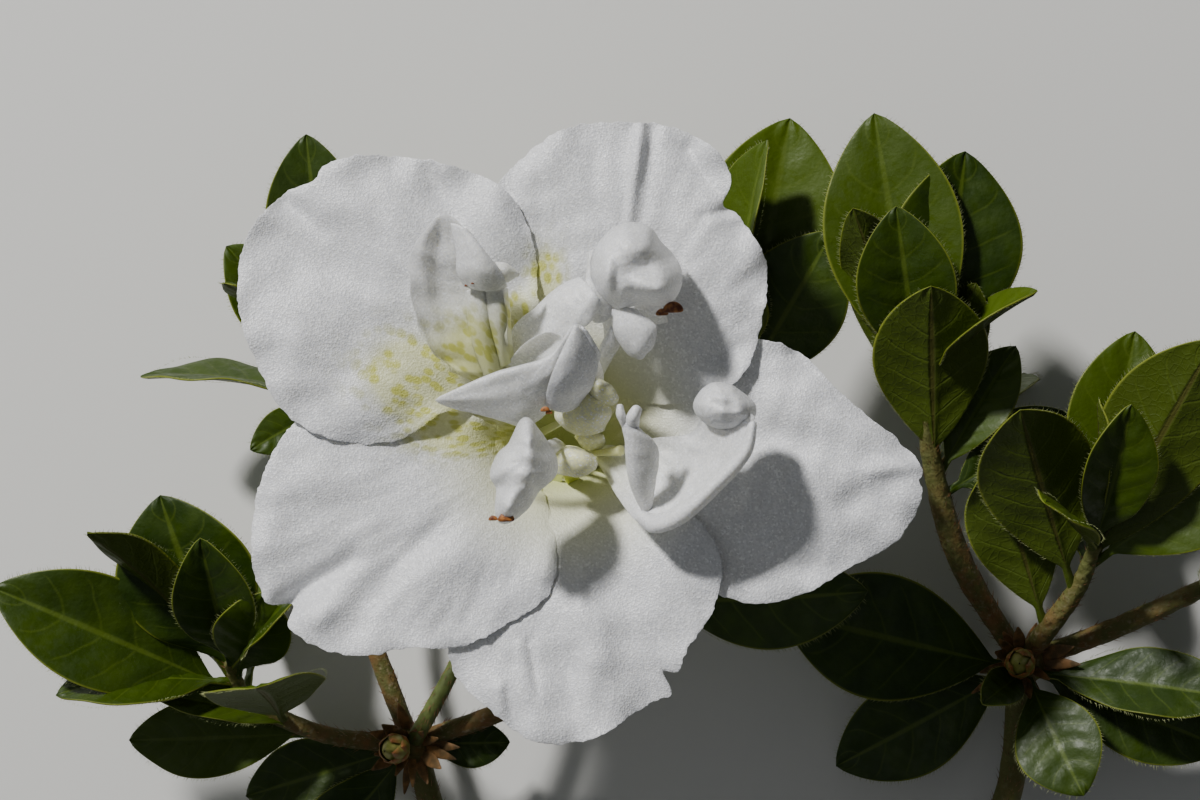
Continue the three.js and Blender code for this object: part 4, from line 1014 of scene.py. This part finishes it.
def leaf_surface(leaf, t, s, seed):
    """Middle of the leaf's thickness, and its face direction; s runs from -1 to 1 across it."""
    place, normal = leaf_frames(leaf, t)
    width = leaf_width(leaf, t)
    across = s * width
    blade = smooth((t - PETIOLE) * 4)
    height = (np.sqrt(across ** 2 + 0.25) - 0.5) * math.tan(leaf["fold"] * DEG) * blade
    bulge = 0.05 * width * (1 - s * s) * blade
    phase = t * VEIN_PAIRS - VEIN_SLANT * np.abs(s) ** VEIN_BEND
    quilt = QUILT * (0.5 - 0.5 * np.cos(2 * math.pi * phase)) * smooth(np.abs(s) * 4) * (1 - s * s) * blade
    wave = 0.5 * ripple(t * 5 + s * 0.6, s * 0, 2.2, seed) * s * s * blade * smooth((1 - t) * 6)
    side = np.cross(leaf["heading"], leaf["face"])
    return place + side * across[..., None] + normal * (height + bulge + quilt + wave)[..., None], normal


def add_leaf(piece, leaf, seed, tone):
    """A blade with its midrib, narrowed to a round stalk; its under side has the second material."""
    columns = 44
    t, turn = net(52, columns)
    s = np.cos(turn)
    middle, normal = leaf_surface(leaf, t, s, seed)
    over = np.where(np.sin(turn) < 0, -1, 1)
    rib = RIB * bell(s * leaf_width(leaf, t) / RIB_REACH) * (1 - 0.6 * t)
    half = LEAF_THICKNESS / 2 * np.sqrt(np.abs(np.sin(turn))) + np.where(over < 0, rib, -0.25 * rib)
    half = half * smooth((1 - t) / 0.04) + LEAF_MARGIN
    points = middle + normal * (over * half)[..., None]
    stalk = t[:, 0] < PETIOLE * 0.9
    place, face = leaf_frames(leaf, t)
    round_stalk = spokes(np.cross(leaf["heading"], leaf["face"]), face, turn)
    points[stalk] = (place + mix(*STALK_RADII, t / PETIOLE)[..., None] * round_stalk)[stalk]
    under = np.sin(turn[:-1] + math.pi / columns) < 0
    piece.grid(points, np.stack([t, s, tone + 0 * t], -1), slots=under)


def add_margin_hairs(piece, leaf, seed):
    """Short pale hairs along a leaf's margins."""
    draw = seeded(seed)
    count = int(leaf["length"] * HAIRS_TO_MM)
    for s in (-1.0, 1.0):
        t = np.array([mix(0.2, 0.985, (k + draw()) / count) for k in range(count)])
        root, normal = leaf_surface(leaf, t, s + 0 * t, seed)
        side = np.cross(leaf["heading"], leaf["face"]) * s
        lean = np.array([[draw() - 0.2, 0.6 * (draw() - 0.5)] for _ in range(count)])
        aim = side + leaf["heading"] * (0.5 + lean[:, :1]) + normal * lean[:, 1:]
        add_hairs(piece, root, aim, HAIR_LENGTH, HAIR_RADIUS, draw)


def add_hairs(piece, roots, aims, length, radius, draw):
    """Thin three-sided spikes from the roots along the aims."""
    aims = unit(aims)
    aside = unit(np.cross(aims, [0.31, 0.17, 0.93]))
    other = np.cross(aims, aside)
    size = np.array([mix(0.6, 1.3, draw()) for _ in roots])[:, None]
    tips = roots + aims * length * size
    for root, tip, a, b in zip(roots, tips, aside, other):
        base = root + radius * spokes(a, b, (0, 2.1, 4.2))
        piece.grid(np.array([base, [tip] * 3]))


# Shoots: the stem's points and radii, the leaves that show, and the rule for the rest. A shown leaf has
# its place on the stem, seen tip, roll, width's share of its length, arch and fold. The rule has the
# number of leaves, the first one's turn, the rise and length of the lowest and the top one, and without,
# the ones left out.
SHOOTS = {
    "shoot_left": {
        "points": [NODE_LEFT, (-30, -37.5, 14.5), (-39, -33, 18.5), (-41, -28, 23)],
        "radii": [1.2, 1.1, 1, 0.8],
        "shown": [
            (0.72, (-8, 588, -16), 10, 0.4, 20, 22),
            (0.76, (87, 533, -7), 150, 0.2, 30, 40),
            (0.84, (160, 495, -16), -10, 0.66, 20, 14),
            (0.92, (200, 538, -10), 0, 0.44, 10, 26),
            (0.86, (266, 592, -13), 10, 0.55, 10, 14),
            (0.5, (256, 688, -6), 180, 0.6, 10, 10),
            (0.42, (143, 692, -22), 30, 0.22, 20, 26),
            (0.36, (129, 740, -30), 0, 0.42, 20, 12),
        ],
        "seed": 11, "count": 3, "turn": 150, "rise": (10, 50), "length": (28, 20),
    },
    "shoot_behind": {
        "points": [NODE_LEFT, (-26, -20, 13.5), (-28.5, 0, 17), (-29, 13, 20)],
        "radii": [1.2, 1.1, 1, 0.8],
        "shown": [
            (0.95, (306, 134, -18), 0, 0.45),
            (0.85, (226, 246, -20), 15, 0.5),
            (0.75, (250, 450, -24), 0, 0.45),
        ],
        "seed": 23, "count": 6, "turn": 130, "rise": (8, 40), "length": (27, 20),
    },
    "shoot_under": {
        "points": [NODE_LEFT, (0, -30, 16), (15, -10, 18.5), (22, 9, 21)],
        "radii": [1.2, 1.1, 1, 0.8],
        "shown": [
            (0.9, (833, 231, -17), 0, 0.52, 10, 10),
            (0.95, (768, 140, -12), -60, 0.34, 14, 30),
            (0.97, (790, 118, -20), 0, 0.55),
            (0.5, (868, 591, -15), 10, 0.4, 20, 12),
        ],
        "seed": 37, "count": 5, "turn": 140, "rise": (8, 45), "length": (27, 20),
    },
    "shoot_upper_right": {
        "points": [NODE_RIGHT, (48.7, -16.5, 18), (44.9, -5.5, 22), (42.5, 7, 27)],
        "radii": [1.2, 1.5, 1.3, 0.9],
        "shown": [
            (0.68, (931, 286, -9), 180, 0.52, 10, 12),
            (0.93, (965, 151, -16), 15, 0.56, 8, 14),
            (0.9, (874, 113, -15), -8, 0.46, 8, 14),
            (0.97, (896, 206, -9), -8, 0.5, 10, 20),
            (0.78, (853, 208, -8), 165, 0.28, 20, 34),
            (0.9, (976, 283, -15), 160, 0.42, 10, 20),
            (0.66, (1016, 346, -24), -20, 0.44, 10, 14),
            (0.6, (1072, 415, -24), 0, 0.5, 10, 14),
        ],
        "seed": 41, "count": 3, "turn": 150, "rise": (10, 40), "length": (27, 20), "without": [1],
    },
    "shoot_right": {
        "points": [NODE_RIGHT, (59.2, -24, 18), (62.5, -18.5, 21.5), (64, -13.5, 25)],
        "radii": [1.2, 1.3, 1.1, 0.8],
        "shown": [
            (0.6, (1020, 410, -8), 178, 0.48, 14, 14),
            (0.3, (996, 459, -17), 175, 0.46, 10, 12),
            (0.97, (1099, 399, -13), 90, 0.3, 8, 20),
            (0.95, (1135, 331, -19), 0, 0.48, 10, 16),
            (0.92, (1131, 404, -10), 10, 0.42, 10, 26),
            (0.7, (1215, 340, -8), 175, 0.42, 14, 14),
            (0.8, (1262, 440, -20), 0, 0.5, 14, 14),
        ],
        "seed": 53, "count": 2, "turn": 190, "rise": (25, 50), "length": (26, 20),
    },
    "shoot_far_right": {
        "points": [NODE_RIGHT, (67, -24.8, 13.6), (78, -19.3, 17.5), (86, -14.5, 22)],
        "radii": [1.2, 1.3, 1.1, 0.8],
        "seed": 67, "count": 8, "turn": 10, "rise": (18, 62), "length": (26, 16), "without": [2],
    },
}
# A whorl also has its knuckle's place and radius, and a tone that keeps its leaves dark: partly the older
# leaves' own darker green, partly painted shade on these low leaves
WHORLS = {
    "whorl_left": {
        "place": NODE_LEFT, "radius": KNUCKLE_LEFT, "tone": 0.3,
        "points": [(-19.5, -39, 10.6), (-19.8, -39.6, 12), (-20, -40.2, 13.4)],
        "shown": [
            (0, (510, 742, -36), 0, 0.5),
            (0.1, (246, 796, -38), 0, 0.45),
            (0.2, (300, 880, -37), 0, 0.45),
        ],
        "seed": 71, "count": 1, "turn": 172, "rise": (-4, 6), "length": (27, 24), "from": 0.4,
    },
    "whorl_right": {
        "place": NODE_RIGHT, "radius": KNUCKLE_RIGHT, "tone": 0.3,
        "points": [(56.5, -28.6, 11.4), (56.8, -29.4, 13), (57, -30.2, 14.6)],
        "shown": [
            (0.6, (782, 612, -30), 0, 0.5, 16, 10),
            (0.9, (1084, 796, -24), 10, 0.62, 26, 10),
            (0.8, (1240, 700, -24), -30, 0.36, 10, 18),
            (0.4, (1225, 748, -31), 0, 0.42, 14, 12),
            (0.3, (836, 766, -37), 0, 0.46, 14, 10),
            (0.7, (982, 704, -22), 20, 0.4, 10, 20),
        ],
        "seed": 83, "count": 0, "turn": 100, "rise": (-4, 10), "length": (27, 23), "from": 0.4,
    },
}
BUDS = {
    "bud_left": {"place": NODE_LEFT, "from": KNUCKLE_LEFT, "toward": (-0.33, 0, 0.94)},
    "bud_right": {"place": NODE_RIGHT, "from": KNUCKLE_RIGHT, "toward": (-0.15, 0.05, 0.98)},
}


def stem_skin(name, node, slot, spec, seed, material=BARK, rough=0.06):
    points, t = limb_points(spec["points"], spec["radii"], 30, 110, rough, seed)
    Piece(name).grid(points, np.stack([t, 0 * t, 0 * t], -1)[:, None]).make(node, slot, material)


def stem_bristles(name, node, slot, spec, per_mm, seed):
    """Flat-lying reddish bristles along a stem."""
    draw = seeded(seed)
    run = np.linalg.norm(np.diff(curve_point(spec["points"], np.linspace(0, 1, 40)), axis=0), axis=1).sum()
    count = int(run * per_mm)
    t = np.array([draw() for _ in range(count)])
    turn = np.array([2 * math.pi * draw() for _ in range(count)])
    place, tangent, normal, side = frames_along(spec["points"], t)
    out = spokes(side, normal, turn)
    roots = place + out * (smooth_list(spec["radii"], t)[:, None] - 0.05)
    piece = Piece(name)
    add_hairs(piece, roots, out * 0.7 + tangent, BRISTLE_LENGTH, BRISTLE_RADIUS, draw)
    piece.make(node, slot, BRISTLE)


def foliage(name, spec, number):
    """A mass of leaves: every leaf in one piece, its hairs in another, and its stem."""
    blades = Piece(name + "_leaves")
    hairs = Piece(name + "_leaf_hairs")
    draw = seeded(spec["seed"] + 1)
    for k, leaf in enumerate(leaves_of(spec)):
        # A whorl's tone darkens its leaves' colour, partly as painted shade
        add_leaf(blades, leaf, number * 40 + k, draw() * spec.get("tone", 1))
        add_margin_hairs(hairs, leaf, number * 50 + k + 1)
    blades.make(name, "leaf", LEAF_UPPER, LEAF_UNDER)
    hairs.make(name, "leaf", HAIR)
    if "radii" in spec:
        stem_skin(name + "_stem", name, "leaf", spec, number)
        stem_bristles(name + "_bristles", name, "leaf", spec, 7, number + 9)


def knuckle(name, node, slot, place, radius, seed):
    """An uneven ball of bark."""
    u, v = net(24, 36, math.pi)
    out = np.stack([np.sin(u) * np.cos(v), np.sin(u) * np.sin(v), np.cos(u)], -1)
    swell = radius * (1 + 0.06 * ripple(out[..., 0] * 6, out[..., 1] * 6 + out[..., 2] * 5, 4, seed))
    Piece(name).grid(np.asarray(place) + out * swell[..., None], [0.3, 0, 0]).make(node, slot, BARK)


def strap(spine, widths, aside, thickness, rows, columns):
    """A small pointed sheet along a spine."""
    rails = [[p + share * w * aside for p, w in zip(spine, widths)] for share in (-1, 0, 1)]
    return sheet_points(rails, thickness, rows, columns)


BRACT_COUNT = 16
BRACT_LENGTHS = (3, 5.5)
BRACT_WIDTHS = (0.5, 0.9)
BRACT_THICKNESS = 0.22


def bracts(name, node, place, radius, seed):
    """Narrow rusty bud scales left standing round a knuckle."""
    draw = seeded(seed)
    piece = Piece(name)
    for k in range(BRACT_COUNT):
        turn = k * GOLDEN_TURN * DEG
        rise = mix(0.15, 1.1, draw())
        out = np.array([math.cos(turn) * math.cos(rise), math.sin(turn) * math.cos(rise), math.sin(rise)])
        aside = unit(np.cross(out, [0, 0, 1]))
        root = np.asarray(place) + out * radius * 0.8
        length = mix(*BRACT_LENGTHS, draw())
        width = mix(*BRACT_WIDTHS, draw())
        lift = np.array([0, 0, 0.5 + draw()])
        spine = [root, root + out * length * 0.5 + lift * 0.3, root + out * length + lift]
        piece.grid(strap(spine, (0.5, width, 0.1), aside, BRACT_THICKNESS, 14, 12))
    piece.make(node, "leaf", BRACT)


BUD_LENGTH = 6.0
BUD_RADIUS = 1.9
BUD_SCALES = 12


def bud(name, spec):
    """An egg-shaped bud wrapped in overlapping scales."""
    axis = unit(spec["toward"])
    across = unit(np.cross([1, 0, 0], axis))
    beside = np.cross(axis, across)
    foot = np.asarray(spec["place"]) + axis * (spec["from"] + SEAT_GAP)

    def skin(u, turn, over):
        wide = BUD_RADIUS * np.sin(math.pi * np.clip(u, 0, 1)) ** 0.7 * (1 - 0.35 * u) + over
        return foot + axis * (BUD_LENGTH * u)[..., None] + wide[..., None] * spokes(across, beside, turn)

    piece = Piece(name + "_core").grid(skin(*net(24, 28), -0.1))
    for k in range(BUD_SCALES):
        middle = k * GOLDEN_TURN * DEG
        up = k / (BUD_SCALES - 1)
        start = mix(0.02, 0.42, up)
        reach = mix(0.42, 0.5, up)
        v, w = net(14, 16)
        s = np.cos(w)
        half_turn = 0.85 * np.sin(math.pi * (0.25 + 0.75 * v)) ** 0.8
        over = 0.08 + 0.3 * v - 0.14 * s * s + 0.1 * np.where(np.sin(w) > 0, 1, -1) * (1 - np.abs(s))
        scale = skin(start + reach * v, middle + s * half_turn, over)
        piece.grid(scale, np.stack([v, 0 * v, 0 * v], -1))
    piece.make(name, "bud", SCALE)


CUT_RADIUS = 2.4
CUT_PROUD = 0.03
CUT_THICKNESS = 0.1
FORK_RADIUS = 2.3
# Branches: points and radii, then the skin's seed, the bristles to a mm, and their seed
BRANCHES = {
    "main_stem": ({"points": [CUT_END, (17.6, -88, 2.9), FORK], "radii": [CUT_RADIUS, 2.2, 2.1]}, 3, 4, 31),
    "branch_left": ({"points": [FORK, (-12, -56, 7.6), NODE_LEFT], "radii": [1.8, 1.6, 1.5]}, 5, 6, 35),
    "branch_right": ({"points": [FORK, (44, -62, 8), (54.5, -47, 10.5), NODE_RIGHT],
                      "radii": [1.9, 1.8, 1.7, 1.6]}, 6, 6, 36),
}


def branches():
    """The woody stems; the main one ends in the fork's knuckle."""
    for name, (spec, seed, per_mm, bristle_seed) in BRANCHES.items():
        stem_skin(name + "_bark", name, "bark", spec, seed)
        if name == "main_stem":
            knuckle("fork_bark", name, "bark", FORK, FORK_RADIUS, 4)
        stem_bristles(name + "_bristles", name, "bark", spec, per_mm, bristle_seed)
    cut_face()


def cut_face():
    """Pale wood and pith on the cut end."""
    points = BRANCHES["main_stem"][0]["points"]
    place, tangent, normal, side = (v[0] for v in frames_along(points, [0.0]))
    share = np.array([0.0, 0.3, 0.6, 0.84])[:, None, None]
    ring = place - tangent * CUT_PROUD + CUT_RADIUS * share * spokes(side, normal, circle(32))
    back = ring[::-1] + tangent * CUT_THICKNESS
    Piece("cut_end_wood").grid(np.vstack([ring, back])).make("main_stem", "bark", WOOD_END)


PEDICEL = [(-9.8, -20.6, 16), (-14.5, -30, 17.6), (-17.8, -36, 16.2), NODE_LEFT]
PEDICEL_RADII = [1.5, 1, 0.9, 1, 1.1]
SEPAL_COUNT = 5
SEPAL_LENGTH = 4.6
SEPAL_WIDTH = 1.3
SEPAL_OUT = 0.75
SEPAL_THICKNESS = 0.3
CUP_HEIGHT = 1.8
CUP_RADII = [2.7, 1.3]


def pedicel():
    """The flower's stalk, and the calyx's cup and sepals under the tube."""
    node = "pedicel_and_calyx"
    x, y = tube_centre(np.array([TUBE_BASE, TUBE_BASE + 1]))
    top = np.array([x[0], y[0], TUBE_BASE + BLOOM_HEIGHT])
    axis = unit(np.array([x[1], y[1], TUBE_BASE + 1 + BLOOM_HEIGHT]) - top)
    seat = top - axis * SEAT_GAP
    spec = {"points": [seat, seat - axis * 3, *PEDICEL], "radii": PEDICEL_RADII}
    stem_skin("pedicel_stalk", node, "stalk", spec, 8, STALK, 0.03)
    stem_bristles("pedicel_hairs", node, "stalk", spec, 10, 44)
    cup, _ = limb_points([seat, seat - axis * CUP_HEIGHT], CUP_RADII, 30, 14)
    piece = Piece("calyx").grid(cup)
    across = unit(np.cross([1, 0, 0], axis))
    for k in range(SEPAL_COUNT):
        out = spokes(across, np.cross(axis, across), k * 360 / SEPAL_COUNT * DEG)
        root = seat - axis * 0.9 + out * 1.2
        spine = [root, root + out * 2.6 + axis * 1.2, root + out * (2.6 + SEPAL_OUT) + axis * SEPAL_LENGTH]
        piece.grid(strap(spine, (0.6, SEPAL_WIDTH, 0.1), np.cross(axis, out), SEPAL_THICKNESS, 24, 20))
    piece.make(node, "stalk", STALK)


# Building
for lobe_name, lobe_spec in LOBES.items():
    petal_lobe(lobe_name, lobe_spec)
corolla_tube()
for index, (petaloid_name, (foot_turn, blade_rails)) in enumerate(PETALOIDS.items()):
    petaloid(petaloid_name, foot_turn, blade_rails, 60 + index)
pistil()
pedicel()
branches()
for index, (mass, mass_spec) in enumerate({**SHOOTS, **WHORLS}.items()):
    foliage(mass, mass_spec, index + 1)
for mass, mass_spec in WHORLS.items():
    knuckle(mass + "_knuckle", mass, "leaf", mass_spec["place"], mass_spec["radius"], 12)
    bracts(mass + "_bracts", mass, mass_spec["place"], mass_spec["radius"], mass_spec["seed"])
for bud_name, bud_spec in BUDS.items():
    bud(bud_name, bud_spec)


# Stage, light and camera
def floor():
    shader = Shader("floor")
    shader.set(Base_Color=colour(0.70, 0.70, 0.68), Roughness=0.85)
    mesh = bpy.data.meshes.new("floor")
    half = 3.0
    corners = [(-half, -half, 0), (half, -half, 0), (half, half, 0), (-half, half, 0)]
    mesh.from_pydata(corners, [], [(0, 1, 2, 3)])
    mesh.materials.append(shader.material)
    plane = add_object("floor", mesh)


def lamp(name, place, energy, size, tint):
    data = bpy.data.lights.new(name, "AREA")
    data.energy = energy
    data.size = size
    data.color = tint
    made = add_object(name, data)
    made.location = place
    made.rotation_euler = (-Vector(place)).to_track_quat("-Z", "Y").to_euler()


def sky(tint, strength):
    world = bpy.data.worlds.new("studio")
    world.use_nodes = True
    background = world.node_tree.nodes["Background"].inputs
    background["Color"].default_value = tint
    background["Strength"].default_value = strength
    bpy.context.scene.world = world


def camera():
    data = bpy.data.cameras.new("camera")
    data.sensor_width = 36.0
    data.lens = data.sensor_width * VIEW_DISTANCE / (VIEW_WIDTH * PIXEL)
    data.clip_start = 0.01
    shot = add_object("camera", data)
    x, y = (np.array(VIEW_POINT) - ORIGIN[:2]) * MM
    shot.location = (x, y, (BLOOM_HEIGHT + VIEW_DISTANCE) * MM)
    bpy.context.scene.camera = shot


floor()
lamp("key", place=(-0.60, 0.75, 0.82), energy=19.5, size=0.11, tint=(1.0, 0.985, 0.96))
lamp("fill", place=(-0.5, -0.05, 1.05), energy=1.6, size=1.5, tint=(0.94, 0.97, 1.0))
sky(tint=colour(0.86, 0.9, 0.95), strength=0.065)
camera()
